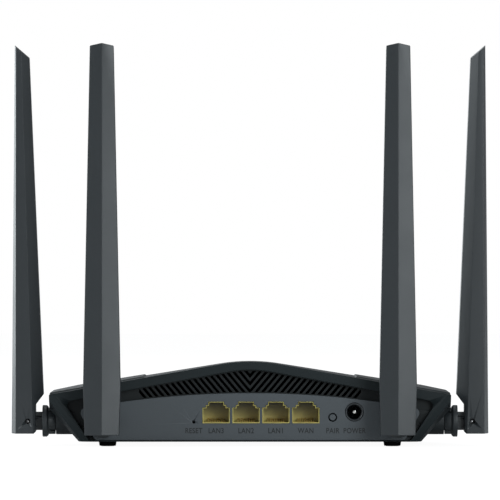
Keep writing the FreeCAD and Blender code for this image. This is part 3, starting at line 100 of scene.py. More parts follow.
for name, (left, up, away, width, height, brightness) in SOFTBOXES.items():
    lamp = bpy.data.lights.new("softbox_" + name, "AREA")
    lamp.shape = "RECTANGLE"
    lamp.size = width
    lamp.size_y = height
    lamp.energy = brightness * math.pi * width * height
    lamp.color = LIGHT_COLOUR
    softbox = bpy.data.objects.new("softbox_" + name, lamp)
    turn, rise = math.radians(left), math.radians(up)
    across, ahead = -math.sin(turn) * math.cos(rise), -math.cos(turn) * math.cos(rise)
    towards = Vector((across, ahead, math.sin(rise)))
    softbox.location = towards * away + Vector((0, 0, cad_high.z / 2))
    softbox.rotation_euler = towards.to_track_quat("Z", "Y").to_euler()
    scene.collection.objects.link(softbox)


def add(tree, kind, inputs=(), **settings):
    """New node in a tree. Inputs are values or sockets, and settings are its properties."""
    made = tree.nodes.new(kind)
    for name, value in settings.items():
        setattr(made, name, value)
    for name, value in dict(inputs).items():
        if isinstance(value, bpy.types.NodeSocket):
            tree.links.new(value, made.inputs[name])
        else:
            made.inputs[name].default_value = value
    return made


# White to the camera, but a softer grey as light, so that the dark plastic keeps its depth.
world = bpy.data.worlds.new("studio")
world.use_nodes = True
scene.world = world
sky = world.node_tree
sky.nodes.clear()
seen = add(sky, "ShaderNodeLightPath").outputs["Is Camera Ray"]
soft = add(sky, "ShaderNodeBackground", {"Color": SKY_COLOUR, "Strength": SKY_STRENGTH})
white = add(sky, "ShaderNodeBackground", {"Color": WHITE, "Strength": 1.0})
backdrop = add(sky, "ShaderNodeMixShader", {0: seen, 1: soft.outputs[0], 2: white.outputs[0]})
add(sky, "ShaderNodeOutputWorld", {"Surface": backdrop.outputs[0]})

floor_mesh = bpy.data.meshes.new("floor")
floor_corners = [(x * FLOOR_HALF, y * FLOOR_HALF, 0) for x, y in ((-1, -1), (1, -1), (1, 1), (-1, 1))]
floor_mesh.from_pydata(floor_corners, [], [(0, 1, 2, 3)])
floor = bpy.data.objects.new("floor", floor_mesh)
scene.collection.objects.link(floor)
floor_paint = bpy.data.materials.new("pale_floor")
floor_paint.use_nodes = True
tree = floor_paint.node_tree
tree.nodes.clear()
seen = add(tree, "ShaderNodeLightPath").outputs["Is Camera Ray"]
share = add(tree, "ShaderNodeMath", {0: seen, 1: FLOOR_GLOW_SHARE}, operation="MULTIPLY").outputs[0]
card = add(tree, "ShaderNodeBsdfDiffuse", {"Color": FLOOR_COLOUR})
glow = add(tree, "ShaderNodeEmission", {"Color": WHITE, "Strength": FLOOR_GLOW})
lit = add(tree, "ShaderNodeMixShader", {0: share, 1: card.outputs[0], 2: glow.outputs[0]})
add(tree, "ShaderNodeOutputMaterial", {"Surface": lit.outputs[0]})
floor_mesh.materials.append(floor_paint)
floor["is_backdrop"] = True


# ---------------------------------------------------------------- lower case
# One tray injection-moulded in black ABS, with a fine spark-eroded texture. It carries the board, the
# feet and the sockets of the side antennas, and its mould leaves every edge slightly rounded.
CASE_COLOUR = (0.0110, 0.0140, 0.0155, 1)
CASE_EDGE = 0.15 * MM
DUST_COLOUR = (0.30, 0.29, 0.27, 1)
SAME_PLACE = 0.002 * MM
FLAT_ANGLE = math.radians(0.4)
EDGE_ANGLE = math.radians(11)
CRISP_REACH = 0.05 * MM
CRISP_SHARE = 0.25  # of the rounding that other edges get


def new_group(name, inputs, outputs):
    """Shader node group with float inputs, given with their values, and typed outputs."""
    group = bpy.data.node_groups.new(name, "ShaderNodeTree")
    for label, value in inputs.items():
        kind = "NodeSocketColor" if isinstance(value, tuple) else "NodeSocketFloat"
        group.interface.new_socket(label, in_out="INPUT", socket_type=kind).default_value = value
    for label, kind in outputs.items():
        group.interface.new_socket(label, in_out="OUTPUT", socket_type=kind)
    return group, group.nodes.new("NodeGroupInput").outputs


def maths(tree, operation, first, second=0.0, third=0.0):
    """Output of one Math node."""
    return add(tree, "ShaderNodeMath", {0: first, 1: second, 2: third}, operation=operation).outputs[0]


def noise(tree, scale, detail=2.0, roughness=0.5, vector=None):
    """Noise value on the piece's own coordinates."""
    place = vector or add(tree, "ShaderNodeTexCoord").outputs["Object"]
    inputs = {"Vector": place, "Scale": scale, "Detail": detail, "Roughness": roughness}
    return add(tree, "ShaderNodeTexNoise", inputs).outputs["Fac"]


def stretch(tree, value, low, high):
    """Value spread out so that low to high becomes 0 to 1."""
    return add(tree, "ShaderNodeMapRange", {"Value": value, "From Min": low, "From Max": high}).outputs[0]


# Pits left by spark erosion: two sizes of them, as a height for a Bump node.
grain_group, socket = new_group(
    "spark_eroded_grain", {"Fineness": 2600.0, "Coarse Share": 0.35}, {"Height": "NodeSocketFloat"}
)
fine = noise(grain_group, socket["Fineness"], 3.0, 0.65)
coarse_scale = maths(grain_group, "MULTIPLY", socket["Fineness"], 0.3)
coarse = noise(grain_group, coarse_scale, 1.0, 0.5)
shares = {"Factor": socket["Coarse Share"], "A": fine, "B": coarse}
both = add(grain_group, "ShaderNodeMix", shares, data_type="FLOAT")
add(grain_group, "NodeGroupOutput", {"Height": both.outputs[0]})

# Edges where a hand or a carton has rubbed, and where a painted highlight lies along them: sharp edges,
# broken up by noise.
wear_and_highlight_group, socket = new_group(
    "edge_wear_and_highlight", {"Width": 0.4 * MM, "Breakup": 220.0}, {"Mask": "NodeSocketFloat"}
)
rounded = add(wear_and_highlight_group, "ShaderNodeBevel", {"Radius": socket["Width"]}, samples=4).outputs[0]
flat = add(wear_and_highlight_group, "ShaderNodeNewGeometry").outputs["Normal"]
straight = add(wear_and_highlight_group, "ShaderNodeVectorMath", {0: rounded, 1: flat}, operation="DOT_PRODUCT")
turned = maths(wear_and_highlight_group, "SUBTRACT", 1.0, straight.outputs["Value"])
edge = stretch(wear_and_highlight_group, turned, 0.01, 0.12)
patches = stretch(wear_and_highlight_group, noise(wear_and_highlight_group, socket["Breakup"], 4.0, 0.7), 0.42, 0.62)
add(wear_and_highlight_group, "NodeGroupOutput", {"Mask": maths(wear_and_highlight_group, "MULTIPLY", edge, patches)})

# Dust that settles on faces that look up, in drifts.
dust_group, socket = new_group("settled_dust", {"Drift": 60.0}, {"Mask": "NodeSocketFloat"})
normal = add(dust_group, "ShaderNodeNewGeometry").outputs["Normal"]
upward = add(dust_group, "ShaderNodeSeparateXYZ", {0: normal}).outputs["Z"]
facing = stretch(dust_group, upward, 0.3, 1.0)
drift = stretch(dust_group, noise(dust_group, socket["Drift"], 6.0, 0.75), 0.35, 0.8)
add(dust_group, "NodeGroupOutput", {"Mask": maths(dust_group, "MULTIPLY", facing, drift)})

# Slow change of tone from melt flow and ageing, with a fine speckle over it.
tone_group, socket = new_group(
    "tone_drift",
    {"Colour": (0.5, 0.5, 0.5, 1), "Variation": 0.12, "Size": 26.0},
    {"Colour": "NodeSocketColor"},
)
slow = maths(tone_group, "SUBTRACT", noise(tone_group, socket["Size"], 3.0, 0.6), 0.5)
speckle = maths(tone_group, "SUBTRACT", noise(tone_group, 1900.0, 2.0, 0.5), 0.5)
mixed = maths(tone_group, "MULTIPLY_ADD", speckle, 0.6, slow)
value = maths(tone_group, "MULTIPLY_ADD", mixed, socket["Variation"], 1.0)
shaded = add(tone_group, "ShaderNodeHueSaturation", {"Color": socket["Colour"], "Value": value})
add(tone_group, "NodeGroupOutput", {"Colour": shaded.outputs[0]})


def use(tree, group, **inputs):
    """Places a shared effect in a material with this material's own values."""
    made = tree.nodes.new("ShaderNodeGroup")
    made.node_tree = group
    for name, value in inputs.items():
        made.inputs[name.replace("_", " ").title()].default_value = value
    return made.outputs[0]


def new_material(name):
    """Empty material and its node tree."""
    material = bpy.data.materials.new(name)
    material.use_nodes = True
    material.node_tree.nodes.clear()
    return material, material.node_tree


def mix_colour(tree, share, first, second):
    """First colour, giving way to the second as the share rises."""
    made = add(tree, "ShaderNodeMix", {0: share}, data_type="RGBA")
    for index, colour in ((6, first), (7, second)):
        if isinstance(colour, bpy.types.NodeSocket):
            tree.links.new(colour, made.inputs[index])
        else:
            made.inputs[index].default_value = colour
    return made.outputs[2]


def surface(tree, colour, roughness, height=None, bump=0.0, depth=0.05 * MM, values=()):
    """Principled surface with a bump; values are its plain sockets."""
    inputs = {"Base Color": colour, "Roughness": roughness, **dict(values)}
    if height is not None:
        relief = add(tree, "ShaderNodeBump", {"Strength": bump, "Distance": depth, "Height": height})
        inputs["Normal"] = relief.outputs[0]
    shader = add(tree, "ShaderNodeBsdfPrincipled", inputs)
    add(tree, "ShaderNodeOutputMaterial", {"Surface": shader.outputs[0]})


def moulded_plastic(
    name, colour, rough, bump=0.25, fineness=2600.0, wear_and_highlight=0.25, dust=0.05, variation=0.12, sheen=0.5
):
    """Moulded plastic: grain, a slow change of tone, paler edges that are rubbed wear and painted
    highlight, and a little dust.
    """
    material, tree = new_material(name)
    tone = use(tree, tone_group, colour=colour, variation=variation)
    worn_and_highlit = maths(tree, "MULTIPLY", use(tree, wear_and_highlight_group), wear_and_highlight)
    dusty = maths(tree, "MULTIPLY", use(tree, dust_group), dust)
    # Rubbed wear and painted highlight: the edges turn paler.
    pale = tuple(min(1.0, c * 1.8 + 0.02) for c in colour[:3]) + (1,)
    tone = mix_colour(tree, worn_and_highlit, tone, pale)
    tone = mix_colour(tree, dusty, tone, DUST_COLOUR)
    patch = maths(tree, "MULTIPLY_ADD", noise(tree, 35.0, 4.0, 0.6), 0.12, rough - 0.06)
    patch = maths(tree, "MULTIPLY_ADD", worn_and_highlit, -0.2, patch)
    grain = use(tree, grain_group, fineness=fineness)
    surface(tree, tone, patch, grain, bump, values={"Specular IOR Level": sheen})
    return material


def merged_mesh(node):
    """The CAD node as one closed mesh of even triangles, so that rounding can't fold a face."""
    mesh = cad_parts[node].data.copy()
    work = bmesh.new()
    work.from_mesh(mesh)
    bmesh.ops.remove_doubles(work, verts=work.verts, dist=SAME_PLACE)
    bmesh.ops.dissolve_limit(work, angle_limit=FLAT_ANGLE, verts=work.verts, edges=work.edges)
    bmesh.ops.triangulate(work, faces=work.faces, quad_method="BEAUTY", ngon_method="BEAUTY")
    work.to_mesh(mesh)
    work.free()
    mesh.shade_smooth()
    return mesh


def add_piece(name, mesh, material, body):
    """Puts a finished mesh in the scene as a piece on its body."""
    mesh.materials.clear()
    mesh.materials.append(material)
    piece = bpy.data.objects.new(name, mesh)
    scene.collection.objects.link(piece)
    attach(piece, body)
    return piece


def moulding(node, material, edge, body="router_body", crisp=None):
    """Copy of a CAD piece with rounded edges, which stands for it. Edges at crisp stay nearly sharp."""
    mesh = merged_mesh(node)
    piece = add_piece(node.replace("antenna_", "blade_") + "_moulding", mesh, material, body)
    mesh.attributes.new("bevel_weight_edge", "FLOAT", "EDGE")
    work = bmesh.new()
    work.from_mesh(mesh)
    layer = work.edges.layers.float["bevel_weight_edge"]
    for rib in work.edges:
        if len(rib.link_faces) == 2 and rib.calc_face_angle() > EDGE_ANGLE:
            ends = [crisp.find(v.co)[2] < CRISP_REACH for v in rib.verts] if crisp else [False]
            short = rib.calc_length() < 2 * edge
            rib[layer] = 0.0 if short else CRISP_SHARE if all(ends) else 1.0
    work.to_mesh(mesh)
    work.free()
    rounding = piece.modifiers.new("rounded_edges", "BEVEL")
    rounding.width = edge
    rounding.segments = 2
    rounding.limit_method = "WEIGHT"
    rounding.use_clamp_overlap = False
    shading = piece.modifiers.new("flat_faces_flat", "WEIGHTED_NORMAL")
    shading.weight = 80
    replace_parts(piece, node)
    return piece


case_plastic = moulded_plastic("case_plastic", CASE_COLOUR, 0.52, dust=0.03, sheen=0.35)
moulding("bottom_case", case_plastic, CASE_EDGE)


# ---------------------------------------------------------------- rubber feet
# Four feet die-cut from black rubber and glued into shallow recesses in the floor. Two raised rings on
# each sole grip the table.
FOOT_SOLE_RADIUS = 3.75 * MM
FOOT_CHAMFER = 0.15 * MM
FOOT_RINGS = (1.5 * MM, 2.9 * MM)
FOOT_RING_RADIUS = 0.15 * MM
FOOT_SIDES = 40
ROUND_SIDES = 8  # of a ring's or a wire's section
RUBBER_COLOUR = (0.004, 0.004, 0.004, 1)


def islands(node):
    """Lowest and highest corner of each separate solid of a CAD node, from left to right."""
    work = bmesh.new()
    work.from_mesh(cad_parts[node].data)
    bmesh.ops.remove_doubles(work, verts=work.verts, dist=SAME_PLACE)
    boxes = []
    for first in work.verts:
        if first.tag:
            continue
        first.tag = True
        reached = [first]
        for vertex in reached:
            for other in (rib.other_vert(vertex) for rib in vertex.link_edges):
                if not other.tag:
                    other.tag = True
                    reached.append(other)
        corners = [[pick(v.co[i] for v in reached) for i in range(3)] for pick in (min, max)]
        boxes.append([Vector(corner) for corner in corners])
    work.free()
    return sorted(boxes, key=lambda b: (round(b[0].x, 5), round(b[0].y, 5)))


def new_shape(name, sizes):
    """Geometry node tree with named sizes as inputs and one geometry output."""
    tree = bpy.data.node_groups.new(name, "GeometryNodeTree")
    kinds = {float: "NodeSocketFloat", int: "NodeSocketInt", Vector: "NodeSocketVector"}
    tree.interface.new_socket("Geometry", in_out="INPUT", socket_type="NodeSocketGeometry")
    for label, value in sizes.items():
        made = tree.interface.new_socket(label, in_out="INPUT", socket_type=kinds[type(value)])
        made.default_value = value
    tree.interface.new_socket("Geometry", in_out="OUTPUT", socket_type="NodeSocketGeometry")
    return tree, tree.nodes.new("NodeGroupInput").outputs


def close_shape(tree, geometry, material):
    """Ends a geometry node tree: real meshes, smooth faces and their material."""
    real = add(tree, "GeometryNodeRealizeInstances", {0: geometry}).outputs[0]
    smooth = add(tree, "GeometryNodeSetShadeSmooth", {0: real}).outputs[0]
    painted = add(tree, "GeometryNodeSetMaterial", {0: smooth, "Material": material}).outputs[0]
    add(tree, "NodeGroupOutput", {0: painted})


def grown_mesh(name, tree, sizes, places=()):
    """The plain mesh that a geometry node tree makes with these sizes, on a mesh of points."""
    points = bpy.data.meshes.new(name + "_seed")
    points.from_pydata(places, [], [])
    seed = bpy.data.objects.new(name + "_seed", points)
    scene.collection.objects.link(seed)
    modifier = seed.modifiers.new(name, "NODES")
    modifier.node_group = tree
    for item in tree.interface.items_tree:
        if item.in_out == "INPUT" and item.name in sizes:
            modifier[item.identifier] = sizes[item.name]
    depsgraph = bpy.context.evaluated_depsgraph_get()
    mesh = bpy.data.meshes.new_from_object(seed.evaluated_get(depsgraph))
    seed.modifiers.remove(modifier)
    bpy.data.objects.remove(seed)
    mesh.name = name
    return mesh


def lifted(tree, geometry, z):
    """Geometry moved up by z."""
    lift = add(tree, "ShaderNodeCombineXYZ", {"Z": z}).outputs[0]
    return add(tree, "GeometryNodeTransform", {0: geometry, "Translation": lift}).outputs[0]


def cone(tree, top, bottom, depth, sides, z):
    """Closed round solid of these sizes, with its base at height z."""
    made = add(
        tree,
        "GeometryNodeMeshCone",
        {"Vertices": sides, "Radius Top": top, "Radius Bottom": bottom, "Depth": depth},
    ).outputs[0]
    return lifted(tree, made, z)


def circle(tree, sides, radius):
    """Circle with this many sides, as a curve."""
    inputs = {"Resolution": sides, "Radius": radius}
    return add(tree, "GeometryNodeCurvePrimitiveCircle", inputs).outputs[0]


def ring(tree, radius, thick, sides, z):
    """Round ring of a round section, with its centre at height z."""
    path = circle(tree, sides, radius)
    section = circle(tree, ROUND_SIDES, thick)
    made = add(tree, "GeometryNodeCurveToMesh", {"Curve": path, "Profile Curve": section}).outputs[0]
    return lifted(tree, made, z)


def joined(tree, *shapes):
    """All these shapes as one geometry."""
    together = tree.nodes.new("GeometryNodeJoinGeometry")
    for shape in shapes:
        tree.links.new(shape, together.inputs[0])
    return together.outputs[0]


def at_points(tree, points, shape):
    """One copy of the shape on every point."""
    return add(tree, "GeometryNodeInstanceOnPoints", {"Points": points, "Instance": shape}).outputs[0]


foot_rubber = moulded_plastic(
    "foot_rubber", RUBBER_COLOUR, 0.78, bump=0.5, fineness=1500.0, wear_and_highlight=0.5, dust=0.2, sheen=0.1
)
foot_boxes = islands("rubber_feet")
foot_low, foot_high = foot_boxes[0]
foot_sizes = {
    "Top Radius": (foot_high.x - foot_low.x) / 2,
    "Sole Radius": FOOT_SOLE_RADIUS,
    "Height": foot_high.z - foot_low.z,
    "Chamfer": FOOT_CHAMFER,
    "Ring Radius": FOOT_RING_RADIUS,
    "Inner Ring": FOOT_RINGS[0],
    "Outer Ring": FOOT_RINGS[1],
}
feet_tree, size = new_shape("rubber_foot", foot_sizes)
sole_z = maths(feet_tree, "ADD", size["Ring Radius"], size["Chamfer"])
height = maths(feet_tree, "SUBTRACT", size["Height"], sole_z)
trimmed = maths(feet_tree, "SUBTRACT", size["Sole Radius"], size["Chamfer"])
block = cone(feet_tree, size["Top Radius"], size["Sole Radius"], height, FOOT_SIDES, sole_z)
edge = cone(feet_tree, size["Sole Radius"], trimmed, size["Chamfer"], FOOT_SIDES, size["Ring Radius"])
rings = [
    ring(feet_tree, size[which], size["Ring Radius"], FOOT_SIDES, size["Ring Radius"])
    for which in ("Inner Ring", "Outer Ring")
]
foot = joined(feet_tree, block, edge, *rings)
close_shape(feet_tree, at_points(feet_tree, size["Geometry"], foot), foot_rubber)

foot_places = [((low.x + high.x) / 2, (low.y + high.y) / 2, low.z) for low, high in foot_boxes]
feet = grown_mesh("rubber_feet_ringed", feet_tree, foot_sizes, foot_places)
feet_piece = add_piece("rubber_feet_ringed", feet, foot_rubber, "router_body")
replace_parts(feet_piece, "rubber_feet")


# ---------------------------------------------------------------- screws
# Zinc-plated self-tapping screws with round heads and a cross recess: four hold the two halves of the
# case together, driven up from below, and four hold the board down on its posts.
HEAD_ROUNDING = 0.45  # of the head's height
CROWN_RADIUS = 0.72  # of the head's radius
CROSS_HALF_WIDTH = 0.35 * MM
CROSS_REACH = 0.55  # of the head's radius
CROSS_DEPTH = 0.3  # of the head's height
CROSS_UNEVEN = 1.08  # so that the floors of the cross's two cuts don't coincide
THREAD_PITCH = 0.8 * MM
THREAD_HEIGHT = 0.18 * MM
SCREW_SIDES = 24
SHANK_SIDES = 16
SCREW_COLOUR = (0.50, 0.50, 0.51, 1)
SCREW_KINDS = {
    # node: height of the head, radius of the thread, 1 if driven from below
    "case_screws": (1.8 * MM, 1.4 * MM, 1.0),
    "board_screws": (1.5 * MM, 1.1 * MM, 0.0),
}


def plated_metal(name, colour, rough, scratches=900.0, tarnish=0.2, tint=(0.25, 0.18, 0.10, 1)):
    """Thin bright plating with fine scratches and dull, tarnished patches."""
    material, tree = new_material(name)
    lines = noise(tree, scratches, 3.0, 0.8)
    dull = stretch(tree, noise(tree, 160.0, 5.0, 0.7), 0.45, 0.75)
    dull = maths(tree, "MULTIPLY", dull, tarnish)
    tone = mix_colour(tree, dull, colour, tint)
    patch = maths(tree, "MULTIPLY_ADD", lines, 0.2, rough - 0.1)
    patch = maths(tree, "ADD", patch, dull)
    surface(tree, tone, patch, lines, 0.15, 0.01 * MM, {"Metallic": 1.0})
    return material


screw_steel = plated_metal("screw_steel", SCREW_COLOUR, 0.34, scratches=1400.0, tarnish=0.25)


def screw_sizes(node):
    """Sizes of one screw of a CAD node."""
    head_height, thread_radius, over = SCREW_KINDS[node]
    low, high = islands(node)[0]
    head_radius = (high.x - low.x) / 2
    return {
        "Head Radius": head_radius,
        "Head Height": head_height,
        "Head Rounding": HEAD_ROUNDING,
        "Shank Radius": thread_radius - THREAD_HEIGHT,
        "Shank Length": high.z - low.z - head_height,
        "Cross Half Width": CROSS_HALF_WIDTH,
        "Cross Reach": CROSS_REACH * head_radius,
        "Cross Depth": CROSS_DEPTH * head_height,
        "Thread Pitch": THREAD_PITCH,
        "Thread Height": THREAD_HEIGHT,
        "Turned Over": over,
    }


screw_tree, size = new_shape("cross_head_screw", screw_sizes("case_screws"))
# The head stands on the origin, crowned upwards, and the shank hangs below it.
crown = maths(screw_tree, "MULTIPLY", size["Head Height"], size["Head Rounding"])
rim = maths(screw_tree, "SUBTRACT", size["Head Height"], crown)
top_radius = maths(screw_tree, "MULTIPLY", size["Head Radius"], CROWN_RADIUS)
flange = cone(screw_tree, size["Head Radius"], size["Head Radius"], rim, SCREW_SIDES, 0.0)
crowned = cone(screw_tree, top_radius, size["Head Radius"], crown, SCREW_SIDES, rim)
wide = maths(screw_tree, "MULTIPLY", size["Cross Reach"], 2.0)
narrow = maths(screw_tree, "MULTIPLY", size["Cross Half Width"], 2.0)
tall = maths(screw_tree, "MULTIPLY", size["Cross Depth"], 2.0)
taller = maths(screw_tree, "MULTIPLY", tall, CROSS_UNEVEN)
recess = add(screw_tree, "GeometryNodeMeshBoolean", operation="DIFFERENCE")
screw_tree.links.new(crowned, recess.inputs["Mesh 1"])
for along, across, deep in ((wide, narrow, tall), (narrow, wide, taller)):
    extent = add(screw_tree, "ShaderNodeCombineXYZ", {"X": along, "Y": across, "Z": deep}).outputs[0]
    cut = add(screw_tree, "GeometryNodeMeshCube", {"Size": extent}).outputs[0]
    cut = lifted(screw_tree, cut, size["Head Height"])
    screw_tree.links.new(cut, recess.inputs["Mesh 2"])
radius, length = size["Shank Radius"], size["Shank Length"]
shank_end = maths(screw_tree, "MULTIPLY", length, -1.0)
shank = cone(screw_tree, radius, radius, length, SHANK_SIDES, shank_end)
turns = maths(screw_tree, "DIVIDE", size["Shank Length"], size["Thread Pitch"])
turns = maths(screw_tree, "FLOOR", maths(screw_tree, "SUBTRACT", turns, 1.0))
pitch_down = maths(screw_tree, "MULTIPLY", size["Thread Pitch"], -1.0)
down = add(screw_tree, "ShaderNodeCombineXYZ", {"Z": pitch_down}).outputs[0]
turn_places = {"Count": turns, "Start Location": down, "Offset": down}
row = add(screw_tree, "GeometryNodeMeshLine", turn_places, mode="OFFSET").outputs[0]
thread = at_points(screw_tree, row, ring(screw_tree, radius, size["Thread Height"], SHANK_SIDES, 0.0))
screw = joined(screw_tree, flange, recess.outputs[0], shank, thread)
tip = maths(screw_tree, "MULTIPLY", size["Turned Over"], math.pi)
turned_over = add(screw_tree, "ShaderNodeCombineXYZ", {"X": tip}).outputs[0]
screw = add(screw_tree, "GeometryNodeTransform", {0: screw, "Rotation": turned_over}).outputs[0]
close_shape(screw_tree, at_points(screw_tree, size["Geometry"], screw), screw_steel)

for node in SCREW_KINDS:
    boxes = islands(node)
    low, high = boxes[0]
    sizes = screw_sizes(node)
    head_height = sizes["Head Height"]
    seat_z = low.z + head_height if sizes["Turned Over"] else high.z - head_height
    places = [((a.x + b.x) / 2, (a.y + b.y) / 2, seat_z) for a, b in boxes]
    screws = grown_mesh(node + "_crossed", screw_tree, sizes, places)
    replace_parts(add_piece(node + "_crossed", screws, screw_steel, "router_body"), node)


# ---------------------------------------------------------------- rating label
# A blank plate of silver polyester film, stuck in the middle of the floor between the slots. Rolling has
# left faint lines along it.
FILM_COLOURS = ((0.30, 0.31, 0.32, 1), (0.42, 0.43, 0.44, 1))
FILM_EDGE = 0.03 * MM

label_film, tree = new_material("label_film")
place = add(tree, "ShaderNodeTexCoord").outputs["Object"]
stretched = add(tree, "ShaderNodeMapping", {"Vector": place, "Scale": (0.04, 1.0, 1.0)}).outputs[0]
rolled = noise(tree, 2400.0, 2.0, 0.6, stretched)
blotches = noise(tree, 70.0, 4.0, 0.6)
film_tone = mix_colour(tree, blotches, *FILM_COLOURS)
film_rough = maths(tree, "MULTIPLY_ADD", rolled, 0.25, 0.26)
surface(tree, film_tone, film_rough, rolled, 0.12, 0.01 * MM, {"Metallic": 0.6})
moulding("rating_label", label_film, FILM_EDGE)


# ---------------------------------------------------------------- top cover
# The lid is moulded in the same black ABS, but polished to a satin face on its roof. Two raised panels
# stand on its slopes, and it is held down by four screws from below.
COVER_COLOUR = (0.0100, 0.0130, 0.0145, 1)
COVER_EDGE = 0.12 * MM

cover_plastic = moulded_plastic(
    "cover_plastic", COVER_COLOUR, 0.42, bump=0.2, dust=0.10, wear_and_highlight=0.2, sheen=0.32
)
moulding("top_cover", cover_plastic, COVER_EDGE)


# ---------------------------------------------------------------- light pipe
# One clear moulding behind the front edge carries the light of six LEDs on the board to six windows in
# the cover. The LEDs are small blocks of yellow phosphor.
CLEAR_COLOURS = ((0.62, 0.66, 0.67, 1), (0.80, 0.84, 0.84, 1))
CLEAR_EDGE = 0.15 * MM
PHOSPHOR_COLOUR = (0.62, 0.55, 0.20, 1)
PHOSPHOR_EDGE = 0.05 * MM

clear_plastic, tree = new_material("clear_plastic")
cloudy = noise(tree, 420.0, 3.0, 0.6)
clear_tone = mix_colour(tree, cloudy, *CLEAR_COLOURS)
clear_rough = maths(tree, "MULTIPLY_ADD", cloudy, 0.12, 0.06)
clarity = {"Transmission Weight": 0.35, "IOR": 1.49}
surface(tree, clear_tone, clear_rough, cloudy, 0.05, 0.01 * MM, clarity)
moulding("light_pipe", clear_plastic, CLEAR_EDGE)

led_phosphor = moulded_plastic("led_phosphor", PHOSPHOR_COLOUR, 0.30, bump=0.05, wear_and_highlight=0.0, dust=0.0)
moulding("led_chips", led_phosphor, PHOSPHOR_EDGE)


# ---------------------------------------------------------------- rear frame
# A separate black moulding that closes the open end of the shell round the ports. Its leaning sides are
# bevelled, and the grille is melted on to pins behind its side bars.
FRAME_COLOUR = (0.0095, 0.0140, 0.0155, 1)
FRAME_EDGE = 0.35 * MM

frame_plastic = moulded_plastic(
    "frame_plastic", FRAME_COLOUR, 0.46, bump=0.18, wear_and_highlight=0.3, dust=0.03, sheen=0.2
)
moulding("rear_frame", frame_plastic, FRAME_EDGE)


# ---------------------------------------------------------------- cooling grille
# A thin matt black plate behind the frame, with slanted slots that meet in a chevron at the middle.
# The edges of its bars are slightly rounded.
GRILLE_COLOUR = (0.0085, 0.0105, 0.0110, 1)
GRILLE_EDGE = 0.12 * MM

grille_plastic = moulded_plastic(
    "grille_plastic", GRILLE_COLOUR, 0.5, bump=0.15, wear_and_highlight=0.15, dust=0.06, sheen=0.2
)
moulding("vent_grille", grille_plastic, GRILLE_EDGE)


# ---------------------------------------------------------------- port panel and its lettering
# The arched panel is moulded in grey ABS. The names of the ports are pad-printed on it in black ink,
# two hundredths of a millimetre thick, and rub off slowly.
PANEL_COLOUR = (0.0470, 0.0550, 0.0615, 1)
PANEL_EDGE = 0.12 * MM
INK_COLOUR = (0.0025, 0.003, 0.0035, 1)
INK_THICK = 0.02 * MM
LETTER_HEIGHT = 2.45 * MM
LETTER_NARROW = 0.84
LETTER_SPACING = 1.08
STROKE_SWELL = 0.018
LETTER_MIDDLE_Z = 7.25 * MM
PANEL_FACE_IN = 1.0 * MM  # of the panel's rim
END_PORT_IN = 7.0 * MM  # from the end of the block of sockets to the middle of its end port
PORT_NAMES = ("LAN3", "LAN2", "LAN1", "WAN")

panel_plastic = moulded_plastic("panel_plastic", PANEL_COLOUR, 0.5, bump=0.3, fineness=2200.0, dust=0.02)
moulding("io_panel", panel_plastic, PANEL_EDGE)

ink, tree = new_material("printed_ink")
thin = stretch(tree, noise(tree, 900.0, 4.0, 0.7), 0.62, 0.8)
ink_colour = mix_colour(tree, maths(tree, "MULTIPLY", thin, 0.5), INK_COLOUR, PANEL_COLOUR)
surface(tree, ink_colour, maths(tree, "MULTIPLY_ADD", thin, 0.2, 0.35), noise(tree, 3000.0), 0.1)


def middle_x(node):
    """X of the middle of a CAD node."""
    low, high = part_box(node)
    return (low.x + high.x) / 2


def word_mesh(text):
    """One printed word as a thin mesh, its middle on x = 0, facing -Y."""
    letters = bpy.data.curves.new("word_" + text, "FONT")
    letters.body = text
    letters.align_x = "CENTER"
    letters.align_y = "CENTER"
    letters.extrude = 0.5
    letters.offset = STROKE_SWELL
    letters.space_character = LETTER_SPACING
    flat = bpy.data.objects.new("word_" + text, letters)
    mesh = bpy.data.meshes.new_from_object(flat)
    bpy.data.objects.remove(flat)
    ys = [v.co.y for v in mesh.vertices]
    scale = LETTER_HEIGHT / (max(ys) - min(ys))
    centre = (max(ys) + min(ys)) / 2
    for v in mesh.vertices:
        across, up = v.co.x * scale * LETTER_NARROW, (v.co.y - centre) * scale
        v.co = Vector((across, -(v.co.z + 0.5) * INK_THICK, up))
    work = bmesh.new()
    work.from_mesh(mesh)
    bmesh.ops.remove_doubles(work, verts=work.verts, dist=0.0005 * MM)
    bmesh.ops.recalc_face_normals(work, faces=work.faces)
    work.to_mesh(mesh)
    work.free()
    return mesh


port_low, port_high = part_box("ethernet_sockets")
first_port_x = port_low.x + END_PORT_IN
last_port_x = port_high.x - END_PORT_IN
port_pitch = (last_port_x - first_port_x) / (len(PORT_NAMES) - 1)
words = {name: first_port_x + i * port_pitch for i, name in enumerate(PORT_NAMES)}
words["RESET"] = middle_x("reset_switch")
words["PAIR"] = middle_x("pair_button")
words["POWER"] = middle_x("power_socket")
panel_face_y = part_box("io_panel")[0].y + PANEL_FACE_IN
for text, x in words.items():
    mesh = word_mesh(text)
    for v in mesh.vertices:
        v.co += Vector((x, panel_face_y, LETTER_MIDDLE_Z))
    add_piece("print_" + text.lower(), mesh, ink, "router_body")


# ---------------------------------------------------------------- power socket, buttons and switches
# The power socket is glossy black nylon with a nickel-plated pin. The pairing button is a grey cap on a
# black plunger, and the reset plunger is reached with a pin through a small hole.
BLACK_COLOUR = (0.020, 0.023, 0.026, 1)
NICKEL_COLOUR = (0.74, 0.72, 0.68, 1)
POWER_SOCKET_EDGE = 0.2 * MM
POWER_PIN_EDGE = 0.1 * MM
BUTTON_EDGE = 0.12 * MM
PAIR_PLUNGER_EDGE = 0.1 * MM
RESET_PLUNGER_EDGE = 0.15 * MM
SWITCH_EDGE = 0.15 * MM

